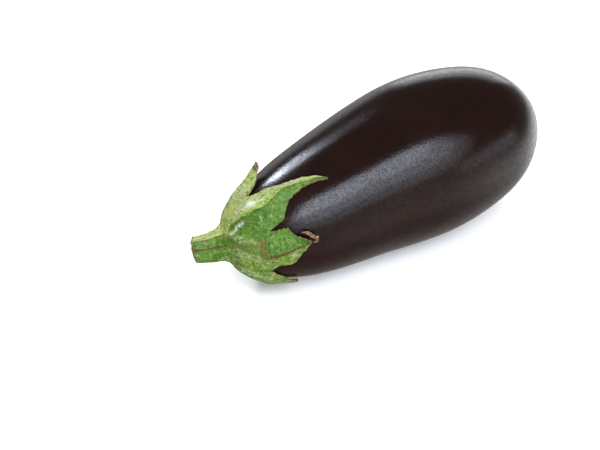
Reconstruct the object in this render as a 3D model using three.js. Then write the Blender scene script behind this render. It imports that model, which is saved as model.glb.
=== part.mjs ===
// An eggplant as picked, lying on its belly: one glossy fruit, capped by a green calyx that grew in one
// piece with its cut stalk. Millimetres, +Z up. The stalk points along -X, the blossom end along +X.
// Stations run along X from the fruit's crown, where the stalk joins, and angles turn about the axis
// from +Y over +Z.
import * as THREE from "three";
import { NURBSCurve } from "three/addons/curves/NURBSCurve.js";

// The fruit's outline from the crown to the blossom end, as the controls of one smooth curve.
const FRUIT_LENGTH = 200;
const OUTLINE_STATIONS = [0, 0, 5, 16, 40, 80, 122, 160, 186, FRUIT_LENGTH, FRUIT_LENGTH];
const OUTLINE_RADII = [0, 11, 18, 26.5, 35.5, 41, 48.5, 43, 32.5, 11, 0];

// The axis bends sideways at the stalk and rises towards the blossom end.
const STALK_LENGTH = 19;
const AXIS_START = -STALK_LENGTH;
const AXIS_END = FRUIT_LENGTH + 2;
const AXIS_KNOTS = [AXIS_START, -8, 10, 80, AXIS_END];
const AXIS_SIDE = [9.2, 6.8, 4.6, -4.5, 2, -3, -8];
const AXIS_RISE = 0.11; // slope of the axis along the fruit
const STALK_RISE = 0.09; // slope of the axis along the stalk

// The fruit's fine form.
const FRUIT_RINGS = 46;
const FRUIT_SIDES = 56;
const FURROWS = 5; // shallow furrows that run down the fruit
const FURROW_SHARE = 0.004; // their depth as a share of the radius
const SCAR_DEPTH = 1.4; // dimple left by the flower
const SCAR_RADIUS = 7;
const BELLY_PRESS = 0.6; // depth of the small flat that the fruit rests on

// The calyx: its clearance over the skin, its wall, and where its cup starts along the skin.
const SKIN_GAP = 0.35;
const CROWN_WALL = 3;
const CUP_WALL = 2;
const TIP_WALL = 1.1;
const EDGE_THINNING = 0.4; // share of the wall that is missing along the lobes' edges
const CUP_START = 12;
const SHOULDER_LENGTH = 17; // skin length over which the cup thins and its folds rise
const SHOULDER_FOLD = 0.45; // height of the folds where the cup starts, as a share of their full height
const FOLD_SHARPNESS = 1.4; // 1 folds a lobe like a roof, more sharpens its ridge
const TIP_FOLD_LOSS = 0.75; // share of a fold's height that is gone at the tip
const TIP_WIDTH = 1;
const EDGE_RIPPLE = 0.25; // how far the lobes' edges ripple off the skin

// The cut stalk, as the controls of its outline from the cut to the shoulder of the cup.
const STALK_STATIONS = [-STALK_LENGTH, -16.5, -12, -7.5, -4];
const STALK_RADII = [7, 7.3, 7.8, 8.3, 9.3];
const SHOULDER_EASE = 2; // how long the outline runs along the cup's own slope before it meets the cup
const STALK_RIDGE = 1.1; // height of the ridges on the stalk
const STALK_TURN = -9; // degrees that the stalk twists by between its cut and the cup
const TWIST_ARCS = [6, 38]; // the skin lengths over which the cup twists
const CUT_SLANT = 0.2; // slope of the cut, which leaves the stalk's top longer
const PITH_DEPTH = 0.5; // how far the cut's middle has sunk
const PITH_SHARE = 0.45; // radius of the sunken pith as a share of the stalk's

// Notches between the lobes: angle in degrees, distance from the crown along the skin, and turn, the
// degrees that the cup twists by between its crown and the lobes.
const NOTCHES = [
  { angle: 32, arc: 28, turn: -6 },
  { angle: 86.1, arc: 29, turn: -5 },
  { angle: 142.2, arc: 32.1, turn: -10 },
  { angle: 203.3, arc: 29.1, turn: -31 },
  { angle: 266, arc: 29.5, turn: -20 },
  { angle: 329, arc: 28, turn: -10 },
];

// Lobe i stands between notch i and notch i + 1. reach is the distance of its tip from the crown along
// the skin, tip the angle there, lift how high the tip stands off the skin, curl the degrees that it
// rolls back by, fold the height of the midrib that it is folded along, and crimp how far its first
// edge is turned up. Its turn is the twist of its midrib down the cup. Its first edge, its middle line
// and its second edge pass through angles at shares of its length, each a pair of share and angle.
const LOBES = [
  {
    reach: 47.2,
    tip: 63,
    turn: -5,
    first: [[0.3, 41], [0.6, 48], [0.85, 56]],
    middle: [[0.5, 62]],
    second: [[0.24, 80.8], [0.54, 77.2], [0.71, 71.7], [0.91, 69.5]],
    lift: 5.6,
    curl: 10,
    fold: 1.8,
    crimp: 0.3,
  },
  {
    reach: 69,
    tip: 118.5,
    turn: 0,
    first: [
      [0.1, 89.4],
      [0.27, 94.1],
      [0.32, 95.6],
      [0.43, 100.5],
      [0.6, 103.8],
      [0.75, 107.2],
      [0.89, 112.1],
    ],
    middle: [
      [0.11, 116.5],
      [0.27, 112.7],
      [0.36, 110.3],
      [0.44, 108.6],
      [0.58, 110.5],
      [0.72, 113],
      [0.84, 114.3],
    ],
    second: [[0.24, 134.2], [0.34, 122.9], [0.44, 118], [0.64, 115.5], [0.84, 116.5]],
    lift: 1.4,
    curl: -12,
    fold: 3.2,
    crimp: 0.6,
  },
  {
    reach: 50.2,
    tip: 162,
    turn: -27,
    first: [[0.51, 143.7], [0.58, 150.2], [0.65, 153.6], [0.84, 157.5]],
    middle: [[0.06, 172.1], [0.36, 167.8], [0.57, 165.7], [0.79, 164.2]],
    second: [[0.2, 189.9], [0.56, 182.9], [0.67, 176.1], [0.84, 169.1]],
    lift: 2,
    curl: 40,
    fold: 2.2,
    crimp: 2.6,
  },
  {
    reach: 43.2,
    tip: 221,
    turn: -27,
    first: [[0.24, 209], [0.54, 214.9]],
    middle: [[0.3, 230], [0.6, 226]],
    second: [[0.3, 252], [0.6, 240], [0.85, 229]],
    lift: 0.8,
    curl: 0,
    fold: 1.6,
    crimp: 0.8,
  },
  {
    reach: 53,
    tip: 302,
    turn: -14,
    first: [[0.3, 271], [0.42, 276], [0.6, 285], [0.8, 293]],
    middle: [[0.5, 299]],
    second: [[0.25, 322], [0.5, 315], [0.62, 309], [0.8, 306]],
    lift: 0.8,
    curl: 0,
    fold: 2,
    crimp: 0.8,
  },
  {
    reach: 44,
    tip: 357,
    turn: -8,
    first: [[0.35, 336], [0.6, 342], [0.8, 349]],
    middle: [[0.5, 358]],
    second: [[0.3, 383], [0.55, 375], [0.75, 367]],
    lift: 4,
    curl: 60,
    fold: 1.8,
    crimp: 1,
  },
];
const CURL_START = 0.8; // share of a lobe's length where its tip starts to roll

const LOBE_COLUMNS = 10;
const LOBE_ROWS = 14;
const CUP_ROWS = 5;
const STALK_ROWS = 11;
const INNER_ROWS = 6;

const { degToRad, lerp, radToDeg, smoothstep } = THREE.MathUtils;

/** The knots of a clamped cubic B-spline whose spans meet at the given breaks. */
function clampedKnots(breaks) {
  const first = breaks[0];
  const last = breaks[breaks.length - 1];
  return [first, first, first, ...breaks, last, last, last];
}

/** A cubic B-spline that starts and ends on its first and last control. */
function clampedSpline(controls, breaks) {
  const weighted = controls.map(([x, y, z = 0]) => new THREE.Vector4(x, y, z, 1));
  const curve = new NURBSCurve(3, clampedKnots(breaks), weighted);
  curve.arcLengthDivisions = 600;
  return curve;
}

/** Evenly spaced breaks for a clamped cubic with the given number of controls. */
function evenBreaks(controlCount) {
  return Array.from({ length: controlCount - 2 }, (_, i) => i);
}

/** The fruit's outline: X holds the station and Y the radius. */
function makeOutline() {
  const controls = OUTLINE_STATIONS.map((station, i) => [station, OUTLINE_RADII[i]]);
  return clampedSpline(controls, evenBreaks(controls.length));
}

/** The axis as a spline whose X grows evenly with its parameter, from the cut to the blossom end. */
function makeAxis() {
  const knots = clampedKnots(AXIS_KNOTS);
  const controls = AXIS_SIDE.map((side, i) => {
    const station = (knots[i + 1] + knots[i + 2] + knots[i + 3]) / 3;
    return [station, side, station * (station > 0 ? AXIS_RISE : STALK_RISE)];
  });
  return clampedSpline(controls, AXIS_KNOTS);
}

const outline = makeOutline();
const outlineLength = outline.getLength();
const axis = makeAxis();
const UP = new THREE.Vector3(0, 0, 1);

/** The point at a station, a radius and an angle about the bent axis. */
function place(station, radius, angle) {
  const length = AXIS_END - AXIS_START;
  const t = (station - AXIS_START) / length;
  const held = THREE.MathUtils.clamp(t, 0, 1);
  const centre = axis.getPoint(held);
  const along = axis.getTangent(held);
  const side = new THREE.Vector3().crossVectors(UP, along).normalize();
  const top = new THREE.Vector3().crossVectors(along, side);
  centre.addScaledVector(along, (t - held) * length);
  centre.addScaledVector(side, radius * Math.cos(angle));
  return centre.addScaledVector(top, radius * Math.sin(angle));
}

/** Station and radius of a point over the skin, from its distance along the skin and its height. */
function overSkin(arc, height) {
  const u = arc / outlineLength;
  const point = outline.getPointAt(u);
  const tangent = outline.getTangentAt(u);
  return { station: point.x - tangent.y * height, radius: point.y + tangent.x * height, tangent };
}

/** How far the body is lifted so that it sinks into the surface under it by the depth of its flat. */
function bellyLift() {
  let lowest = Infinity;
  for (let arc = 0; arc <= outlineLength; arc += 1) {
    const { station, radius } = overSkin(arc, 0);
    lowest = Math.min(lowest, place(station, radius, -Math.PI / 2).z);
  }
  return -lowest - BELLY_PRESS;
}

/** The fruit: its outline turned about a straight axis, then bent and pressed flat under its belly. */
function makeFruit() {
  const floor = -bellyLift();
  const profile = [];
  for (let i = 0; i <= FRUIT_RINGS; i += 1) {
    const point = outline.getPointAt(i / FRUIT_RINGS);
    const dimple = SCAR_DEPTH * Math.exp(-((point.y / SCAR_RADIUS) ** 2) * 2);
    const station = point.x > FRUIT_LENGTH / 2 ? point.x - dimple : point.x;
    const onAxis = i === 0 || i === FRUIT_RINGS;
    profile.push(new THREE.Vector2(onAxis ? 0 : point.y, station));
  }
  const geometry = new THREE.LatheGeometry(profile, FRUIT_SIDES);
  const position = geometry.getAttribute("position");
  for (let i = 0; i < position.count; i += 1) {
    const station = position.getY(i);
    const angle = Math.atan2(position.getX(i), position.getZ(i));
    const fade = Math.sin((Math.PI * Math.max(station, 0)) / FRUIT_LENGTH);
    const furrow = 1 + FURROW_SHARE * fade * Math.cos(FURROWS * angle + 1);
    const radius = Math.hypot(position.getX(i), position.getZ(i)) * furrow;
    const bent = place(station, radius, angle);
    position.setXYZ(i, bent.x, bent.y, Math.max(bent.z, floor));
  }
  geometry.computeVertexNormals();
  return geometry;
}

/** A ring of vertices with its first one again at its end. */
function closeRing(row) {
  return [...row, row[0]];
}

/** Collects the vertices and faces of one closed surface. */
class Surface {
  constructor() {
    this.points = [];
    this.faces = [];
  }

  add(point) {
    this.points.push(point.x, point.y, point.z);
    return this.points.length / 3 - 1;
  }

  /** Two triangles between two neighbouring pairs, seen from outside with a-b below d-c. */
  quad(a, b, c, d) {
    this.faces.push(a, b, c, a, c, d);
  }

  /** The strip between two rows of equal length. */
  strip(low, high) {
    for (let i = 0; i + 1 < low.length; i += 1) this.quad(low[i], low[i + 1], high[i + 1], high[i]);
  }

  /** The strips between neighbouring rings. */
  tube(rings) {
    for (let i = 0; i + 1 < rings.length; i += 1) this.strip(closeRing(rings[i]), closeRing(rings[i + 1]));
  }

  /** Triangles from one centre to each edge of a row. */
  fan(centre, row) {
    for (let i = 0; i + 1 < row.length; i += 1) this.faces.push(centre, row[i], row[i + 1]);
  }

  geometry() {
    const made = new THREE.BufferGeometry();
    made.setAttribute("position", new THREE.Float32BufferAttribute(this.points, 3));
    made.setIndex(this.faces);
    made.computeVertexNormals();
    return made;
  }
}

/** The turn of the cup at a place across a lobe, in degrees. */
function turnAt(index, across) {
  const side = across < 0 ? NOTCHES[index] : NOTCHES[(index + 1) % NOTCHES.length];
  return lerp(LOBES[index].turn, side.turn, Math.abs(across));
}

/** The columns that run from the cut to the lobes. across is -1 and 1 at the notches, 0 at a midrib. */
function makeColumns() {
  const columns = [];
  NOTCHES.forEach((notch, i) => {
    const next = NOTCHES[(i + 1) % NOTCHES.length];
    for (let c = 0; c < LOBE_COLUMNS; c += 1) {
      const share = c / LOBE_COLUMNS;
      columns.push({
        across: 2 * share - 1,
        angle: degToRad(lerp(notch.angle, nextNotchAngle(i), share)),
        arc: lerp(notch.arc, next.arc, share),
        fold: LOBES[i].fold,
        turn: turnAt(i, 2 * share - 1),
      });
    }
  });
  return columns;
}

/** What is left of a turn at a distance from the crown along the skin, in radians. */
function twistAt(arc, turn) {
  return degToRad(turn) * (1 - smoothstep(arc, TWIST_ARCS[0], TWIST_ARCS[1]));
}

/** Height of the midrib relief across a lobe: a roof that is 1 at the midrib. */
function roof(across) {
  return (1 - Math.abs(across)) ** FOLD_SHARPNESS;
}

/** Goes from 0 to 1 over the shoulder of the cup. */
function shoulderShare(arc) {
  return smoothstep(arc, CUP_START, CUP_START + SHOULDER_LENGTH);
}

/** Height of a lobe's fold where it runs down the cup. */
function foldAt(arc, fold) {
  return fold * lerp(SHOULDER_FOLD, 1, shoulderShare(arc));
}

/** Wall of the cup and the lobes, thick at the crown and thin at the tips and edges. */
function wallAt(arc, tipShare, across, fold) {
  const cup = lerp(CROWN_WALL, CUP_WALL, shoulderShare(arc));
  const lobe = lerp(cup, TIP_WALL, tipShare);
  const edge = 1 - EDGE_THINNING * across ** 4 * smoothstep(tipShare, 0, 0.2);
  return lobe * edge + foldAt(arc, fold) * roof(across) * (1 - TIP_FOLD_LOSS * tipShare ** 1.5);
}

/** Angle in degrees of the notch after notch index, counted on past a full turn. */
function nextNotchAngle(index) {
  const { angle } = NOTCHES[(index + 1) % NOTCHES.length];
  return angle > NOTCHES[index].angle ? angle : angle + 360;
}

/** The middle line of a lobe: distance along the skin, height over it, and lean away from it. */
function lobeLine(lobe, baseArc, tipShare) {
  const rolled = Math.max(0, tipShare - CURL_START) / (1 - CURL_START);
  const lean = degToRad(lobe.curl) * rolled;
  const straight = Math.min(tipShare, CURL_START);
  const rollLength = (lobe.reach - baseArc) * (1 - CURL_START) * rolled;
  const chord = lean === 0 ? 1 : Math.sin(lean / 2) / (lean / 2);
  return {
    arc: lerp(baseArc, lobe.reach, straight) + rollLength * chord * Math.cos(lean / 2),
    height: lobe.lift * tipShare ** 2 + rollLength * chord * Math.sin(lean / 2),
    lean,
  };
}

/** A value that starts and ends as given and passes through pairs of share and value between. */
function bend(share, start, points, end) {
  const all = [[0, start], ...points, [1, end]];
  const next = all.findIndex(([at]) => at >= share);
  if (next <= 0) {
    return next === 0 ? start : end;
  }
  const [low, from] = all[next - 1];
  const [high, to] = all[next];
  return lerp(from, to, (share - low) / (high - low));
}

/** The angle in degrees at a place across a lobe, before the stalk's twist. */
function lobeAngle(index, across, tipShare) {
  const lobe = LOBES[index];
  const start = NOTCHES[index].angle;
  const end = nextNotchAngle(index);
  const halfTip = radToDeg(TIP_WIDTH / 2 / overSkin(lobe.reach, 0).radius);
  const middle = bend(tipShare, (start + end) / 2, lobe.middle, lobe.tip);
  const side =
    across < 0
      ? bend(tipShare, start, lobe.first, lobe.tip - halfTip)
      : bend(tipShare, end, lobe.second, lobe.tip + halfTip);
  return lerp(middle, side, Math.abs(across));
}

/** A point of lobe number index at a share of the way to its tip, on its upper or its lower face. */
function lobePoint(index, across, tipShare, upper) {
  const lobe = LOBES[index];
  const after = NOTCHES[(index + 1) % NOTCHES.length];
  const baseArc = lerp(NOTCHES[index].arc, after.arc, (across + 1) / 2);
  const line = lobeLine(lobe, baseArc, tipShare);
  const wall = upper ? wallAt(line.arc, tipShare, across, lobe.fold) : 0;
  const flutter = 1 + Math.sin(7 * tipShare + index + 2 * across);
  const ripple = EDGE_RIPPLE * flutter * Math.sin(Math.PI * tipShare);
  const crimp = lobe.crimp * smoothstep(tipShare, 0.3, 0.8) * (across < 0 ? 1 : 0);
  const edge = (ripple + crimp) * across ** 2;
  const height = SKIN_GAP + line.height + edge + wall * Math.cos(line.lean);
  const twist = twistAt(line.arc, turnAt(index, across));
  const angle = degToRad(lobeAngle(index, across, tipShare)) + twist;
  const { station, radius } = overSkin(line.arc - wall * Math.sin(line.lean), height);
  return place(station, radius, angle);
}

/** Rings from the cut along the ridged stalk and over the shoulder, to where the cup starts. */
function stalkRows(surface, columns) {
  const shoulder = overSkin(CUP_START, SKIN_GAP + CROWN_WALL);
  const { tangent } = shoulder;
  const controls = STALK_STATIONS.map((station, i) => [station, STALK_RADII[i]]);
  const before = tangent.clone().multiplyScalar(SHOULDER_EASE);
  controls.push([shoulder.station - before.x, shoulder.radius - before.y]);
  controls.push([shoulder.station, shoulder.radius]);
  const edge = clampedSpline(controls, evenBreaks(controls.length));
  const rows = [];
  for (let i = 0; i < STALK_ROWS; i += 1) {
    const share = i / STALK_ROWS;
    const point = edge.getPointAt(share);
    const along = edge.getTangentAt(share);
    rows.push(columns.map(({ across, angle, fold, turn }) => {
      const turned = angle + twistAt(CUP_START, turn) + degToRad(STALK_TURN * (1 - share));
      const height = lerp(STALK_RIDGE * (roof(across) - 0.4), foldAt(CUP_START, fold) * roof(across), share);
      const radius = point.y + along.x * height;
      const slant = CUT_SLANT * radius * Math.sin(turned) * (1 - smoothstep(share, 0, 0.4));
      return surface.add(place(point.x - along.y * height - slant, radius, turned));
    }));
  }
  return rows;
}

/** Closes the cut end with a slightly sunken pith. */
function addCutFace(surface, rim) {
  const middle = place(-STALK_LENGTH, 0, 0);
  const pith = rim.map((index) => {
    const edge = new THREE.Vector3().fromArray(surface.points, 3 * index);
    const point = edge.lerp(middle, 1 - PITH_SHARE);
    point.x += PITH_DEPTH / 2;
    return surface.add(point);
  });
  surface.strip(closeRing(pith), closeRing(rim));
  middle.x += PITH_DEPTH;
  surface.fan(surface.add(middle), closeRing(pith).reverse());
}

/** Rings over the outside of the cup, down to the notches and the feet of the lobes. */
function cupRows(surface, columns) {
  const rows = [];
  for (let i = 0; i <= CUP_ROWS; i += 1) {
    rows.push(columns.map(({ across, angle, arc, fold, turn }) => {
      const here = lerp(CUP_START, arc, i / CUP_ROWS);
      const { station, radius } = overSkin(here, SKIN_GAP + wallAt(here, 0, across, fold));
      return surface.add(place(station, radius, angle + twistAt(here, turn)));
    }));
  }
  return rows;
}

/** Rings over the inside of the cup, from the feet of the lobes back towards the crown. */
function innerRows(surface, columns) {
  const rows = [];
  for (let i = 0; i < INNER_ROWS; i += 1) {
    rows.push(columns.map(({ angle, arc, turn }) => {
      const here = arc * (1 - i / INNER_ROWS);
      const { station, radius } = overSkin(here, SKIN_GAP);
      return surface.add(place(station, radius, angle + twistAt(here, turn)));
    }));
  }
  return rows;
}

/** One lobe on top of the cup's last outer and inner rows. */
function addLobe(surface, index, outerBase, innerBase) {
  let outer = outerBase;
  let inner = innerBase;
  for (let r = 1; r <= LOBE_ROWS; r += 1) {
    const nextOuter = [];
    const nextInner = [];
    for (let c = 0; c <= LOBE_COLUMNS; c += 1) {
      const across = (2 * c) / LOBE_COLUMNS - 1;
      nextOuter.push(surface.add(lobePoint(index, across, r / LOBE_ROWS, true)));
      nextInner.push(surface.add(lobePoint(index, across, r / LOBE_ROWS, false)));
    }
    surface.strip(outer, nextOuter);
    surface.strip([...inner].reverse(), [...nextInner].reverse());
    const last = LOBE_COLUMNS;
    surface.quad(inner[0], outer[0], nextOuter[0], nextInner[0]);
    surface.quad(outer[last], inner[last], nextInner[last], nextOuter[last]);
    outer = nextOuter;
    inner = nextInner;
  }
  surface.strip(outer, inner);
}

function makeCalyx() {
  const surface = new Surface();
  const columns = makeColumns();
  const stalk = stalkRows(surface, columns);
  const cup = cupRows(surface, columns);
  const inner = innerRows(surface, columns);
  addCutFace(surface, stalk[0]);
  surface.tube([...stalk, ...cup]);
  surface.tube(inner);
  const crown = overSkin(0, SKIN_GAP);
  surface.fan(surface.add(place(crown.station, 0, 0)), closeRing(inner[INNER_ROWS - 1]));
  const outerRim = closeRing(cup[CUP_ROWS]);
  const innerRim = closeRing(inner[0]);
  LOBES.forEach((_, index) => {
    const from = index * LOBE_COLUMNS;
    const to = from + LOBE_COLUMNS + 1;
    addLobe(surface, index, outerRim.slice(from, to), innerRim.slice(from, to));
  });
  return surface.geometry();
}

const skinMaterial = new THREE.MeshStandardMaterial({ color: 0x1d1217, roughness: 0.22, metalness: 0 });
const calyxMaterial = new THREE.MeshStandardMaterial({ color: 0x7ba04e, roughness: 0.6, metalness: 0 });

const fruit = new THREE.Mesh(makeFruit(), skinMaterial);
fruit.name = "fruit";

const calyx = new THREE.Mesh(makeCalyx(), calyxMaterial);
calyx.name = "calyx";

const eggplant = new THREE.Group();
eggplant.add(fruit, calyx);

// The origin lies under the middle of the whole eggplant, on the surface that it rests on.
const box = new THREE.Box3().setFromObject(eggplant);
const middle = box.getCenter(new THREE.Vector3());
eggplant.position.set(-middle.x, -middle.y, -box.min.z);

export default eggplant;
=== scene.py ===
"""Dresses a picked eggplant: a glossy dark fruit, a green calyx with its cut stalk, and the small
dried pieces on it, lying on a plain pale floor. Shapes are worked out in millimetres and written to
the meshes in metres."""

import math

import bpy
import numpy as np
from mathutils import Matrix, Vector


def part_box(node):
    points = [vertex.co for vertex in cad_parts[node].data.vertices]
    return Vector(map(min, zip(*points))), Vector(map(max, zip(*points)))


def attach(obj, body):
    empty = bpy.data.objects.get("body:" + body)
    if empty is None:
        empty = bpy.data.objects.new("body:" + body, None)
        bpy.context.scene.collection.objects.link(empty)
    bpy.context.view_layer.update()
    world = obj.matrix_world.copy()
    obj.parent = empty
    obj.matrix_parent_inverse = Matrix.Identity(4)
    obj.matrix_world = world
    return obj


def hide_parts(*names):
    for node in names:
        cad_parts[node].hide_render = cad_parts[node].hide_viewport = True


bl_info = {
    "name": "Eggplant",
    "version": (1, 0, 0),
    "blender": (4, 5, 0),
    "location": "3D View > Sidebar > Eggplant",
    "description": "Builds the pieces of a picked eggplant around its packed frame",
    "category": "Object",
}

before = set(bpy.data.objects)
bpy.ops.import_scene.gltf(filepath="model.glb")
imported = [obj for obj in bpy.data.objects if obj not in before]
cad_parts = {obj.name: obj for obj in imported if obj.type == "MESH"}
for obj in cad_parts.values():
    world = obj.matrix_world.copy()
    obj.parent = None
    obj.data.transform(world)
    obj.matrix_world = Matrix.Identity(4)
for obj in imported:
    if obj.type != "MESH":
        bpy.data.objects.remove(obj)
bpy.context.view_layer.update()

MM = 0.001
UP = np.array([0.0, 0.0, 1.0])

# The fruit's outline from the crown to the blossom end, as controls of one smooth curve.
FRUIT_LENGTH = 200.0
OUTLINE_STATIONS = [0, 0, 5, 16, 40, 80, 122, 160, 186, FRUIT_LENGTH, FRUIT_LENGTH]
OUTLINE_RADII = [0, 11, 18, 26.5, 35.5, 41, 48.5, 43, 32.5, 11, 0]

# The axis bends sideways at the stalk and rises towards the blossom end.
STALK_LENGTH = 19.0
AXIS_START = -STALK_LENGTH
AXIS_END = FRUIT_LENGTH + 2
AXIS_KNOTS = [AXIS_START, -8, 10, 80, AXIS_END]
AXIS_SIDE = [9.2, 6.8, 4.6, -4.5, 2, -3, -8]
AXIS_RISE = 0.11
STALK_RISE = 0.09

# The skin: its rings, the sunken blossom scar and the rim round it, where it is redder beside the
# calyx, and how far the flat is pressed into its belly.
FRUIT_RINGS = 260
RING_CROWDING = 0.55  # how closely the rings crowd at the ends
SCAR_DEPTH = 1.4
SCAR_RADIUS = 7.0
SCAR_EDGE = (4.0, 5.4)
SCAR_RIM_HEIGHT = 0.35
SCAR_RIM_RADIUS = 4.2
SCAR_RIM_WIDTH = 0.8
BLUSH_STATIONS = (26, 52)
BELLY_PRESS = 0.6

# The calyx: clearance over the skin, walls, and where its cup starts along the skin.
SKIN_GAP = 0.35
CROWN_WALL = 3.0
CUP_WALL = 2.0
TIP_WALL = 1.1
CUP_START = 12.0
SHOULDER_LENGTH = 17.0
SHOULDER_FOLD = 0.45
FOLD_SHARPNESS = 1.4
TIP_FOLD_LOSS = 0.75
TIP_WIDTH = 1.0
EDGE_RIPPLE = 0.25
EDGE_RAGGED = 0.28

# The stalk: its outline, its ridges, and the slanted cut with its sunken pith.
STALK_STATIONS = [-STALK_LENGTH, -16.5, -12, -7.5, -4]
STALK_RADII = [7, 7.3, 7.8, 8.3, 9.3]
SHOULDER_EASE = 2.0
STALK_RIDGE = 1.1
STALK_TURN = -9
TWIST_ARCS = (6, 38)
CUT_SLANT = 0.2
CUT_ROUGHNESS = 0.16
CUT_RIM_HEIGHT = 0.3
PITH_DEPTH = 0.5

# Low relief on the calyx: side veins, midribs, fine ribs, swells, and crumples where it has dried.
VEIN_SPACING = 5.5
VEIN_SLOPE = 1.1
VEIN_WIDTH = 0.45
VEIN_STRENGTH = 0.5
VEIN_HEIGHT = 0.32
MIDRIB_WIDTH = 0.5
MIDRIB_HEIGHT = 0.2
MIDRIB_LINE_WIDTH = 0.6
RIB_COUNT = 17
RIB_HEIGHT = 0.1
SWELL_HEIGHT = 0.13
STALK_SWELL_HEIGHT = 0.12
CRUMPLE_HEIGHT = 0.28

# Notches between the lobes: angle in degrees, distance from the crown along the skin, and the degrees
# that the cup twists by between its crown and the lobes.
NOTCHES = [
    (32, 28, -6),
    (86.1, 29, -5),
    (142.2, 32.1, -10),
    (203.3, 29.1, -31),
    (266, 29.5, -20),
    (329, 28, -10),
]

# Lobe i stands between notch i and notch i + 1. reach is the distance of its tip from the crown along
# the skin, tip the angle there, lift how high the tip stands off the skin, curl the degrees that it
# rolls back by, fold the height of the midrib that it is folded along, crimp how far its first edge
# is turned up, turn the twist of its midrib down the cup, and dry the share of its length from which
# it has dried. Its first edge, its middle line and its second edge pass through angles at shares of
# its length.
LOBES = [
    dict(
        reach=47.2, tip=63, turn=-5, lift=5.6, curl=10, fold=1.8, crimp=0.3, dry=0.8,
        first=[(0.3, 41), (0.6, 48), (0.85, 56)],
        middle=[(0.5, 62)],
        second=[(0.24, 80.8), (0.54, 77.2), (0.71, 71.7), (0.91, 69.5)],
    ),
    dict(
        reach=69, tip=118.5, turn=0, lift=1.4, curl=-12, fold=3.2, crimp=0.6, dry=0.955,
        first=[
            (0.1, 89.4), (0.27, 94.1), (0.32, 95.6), (0.43, 100.5), (0.6, 103.8), (0.75, 107.2),
            (0.89, 112.1),
        ],
        middle=[
            (0.11, 116.5), (0.27, 112.7), (0.36, 110.3), (0.44, 108.6), (0.58, 110.5), (0.72, 113),
            (0.84, 114.3),
        ],
        second=[(0.24, 134.2), (0.34, 122.9), (0.44, 118), (0.64, 115.5), (0.84, 116.5)],
    ),
    dict(
        reach=50.2, tip=162, turn=-27, lift=2, curl=40, fold=2.2, crimp=2.6, dry=0.95,
        first=[(0.51, 143.7), (0.58, 150.2), (0.65, 153.6), (0.84, 157.5)],
        middle=[(0.06, 172.1), (0.36, 167.8), (0.57, 165.7), (0.79, 164.2)],
        second=[(0.2, 189.9), (0.56, 182.9), (0.67, 176.1), (0.84, 169.1)],
    ),
    dict(
        reach=43.2, tip=221, turn=-27, lift=0.8, curl=0, fold=1.6, crimp=0.8, dry=0.84,
        first=[(0.24, 209), (0.54, 214.9)],
        middle=[(0.3, 230), (0.6, 226)],
        second=[(0.3, 252), (0.6, 240), (0.85, 229)],
    ),
    dict(
        reach=53, tip=302, turn=-14, lift=0.8, curl=0, fold=2, crimp=0.8, dry=0.9,
        first=[(0.3, 271), (0.42, 276), (0.6, 285), (0.8, 293)],
        middle=[(0.5, 299)],
        second=[(0.25, 322), (0.5, 315), (0.62, 309), (0.8, 306)],
    ),
    dict(
        reach=44, tip=357, turn=-8, lift=4, curl=60, fold=1.8, crimp=1, dry=0.85,
        first=[(0.35, 336), (0.6, 342), (0.8, 349)],
        middle=[(0.5, 358)],
        second=[(0.3, 383), (0.55, 375), (0.75, 367)],
    ),
]
CURL_START = 0.8  # share of a lobe's length

# Random patterns: the count of waves in each, their size in millimetres and the seed.
PATTERNS = {
    "vein wander": (12, 14, 3),
    "dry edge": (16, 5, 5),
    "crumples": (40, 2.4, 7),
    "swells": (30, 7.5, 9),
    "rim wander": (20, 3, 11),
    "rib wander": (10, 20, 21),
    "stalk swells": (24, 4, 23),
    "collar edge": (16, 6, 25),
    "line wander": (20, 4, 27),
    "cut grain": (30, 1.6, 31),
    "roll crinkles": (30, 1.6, 41),
    "speck patches": (14, 16, 51),
    "ragged edge": (24, 3, 61),
}

# Columns and rows of the calyx's faces.
LOBE_COLUMNS = 56
COLUMN_CROWDING = 0.7  # how closely the columns crowd at the midribs and at the edges
LOBE_ROWS = 84
CUP_ROWS = 26
STALK_ROWS = 52
INNER_ROWS = 12
CUT_ROWS = 16
RIM_ROUNDING = 12  # higher keeps the rounding of a lobe's edge narrower
RIM_SHARE = 0.3  # share of the wall that is left at the very edge
LOBE_SHARE = 0.75  # share of the wall that a lobe has inside its edge


def smooth(value, start, end):
    """Goes from 0 to 1 between start and end with level ends."""
    share = np.clip((np.asarray(value, float) - start) / (end - start), 0, 1)
    return share * share * (3 - 2 * share)


def lerp(low, high, share):
    return low + (high - low) * share


def unit(vectors):
    return vectors / np.linalg.norm(vectors, axis=-1, keepdims=True)


def bell(distance, width):
    """1 at no distance, and close to 0 from twice the width on."""
    return np.exp(-((distance / width) ** 2))


def crowded(share, amount):
    """Shifts even shares so that they lie closer at every whole number."""
    return share - amount * np.sin(2 * math.pi * share) / (2 * math.pi)


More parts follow.
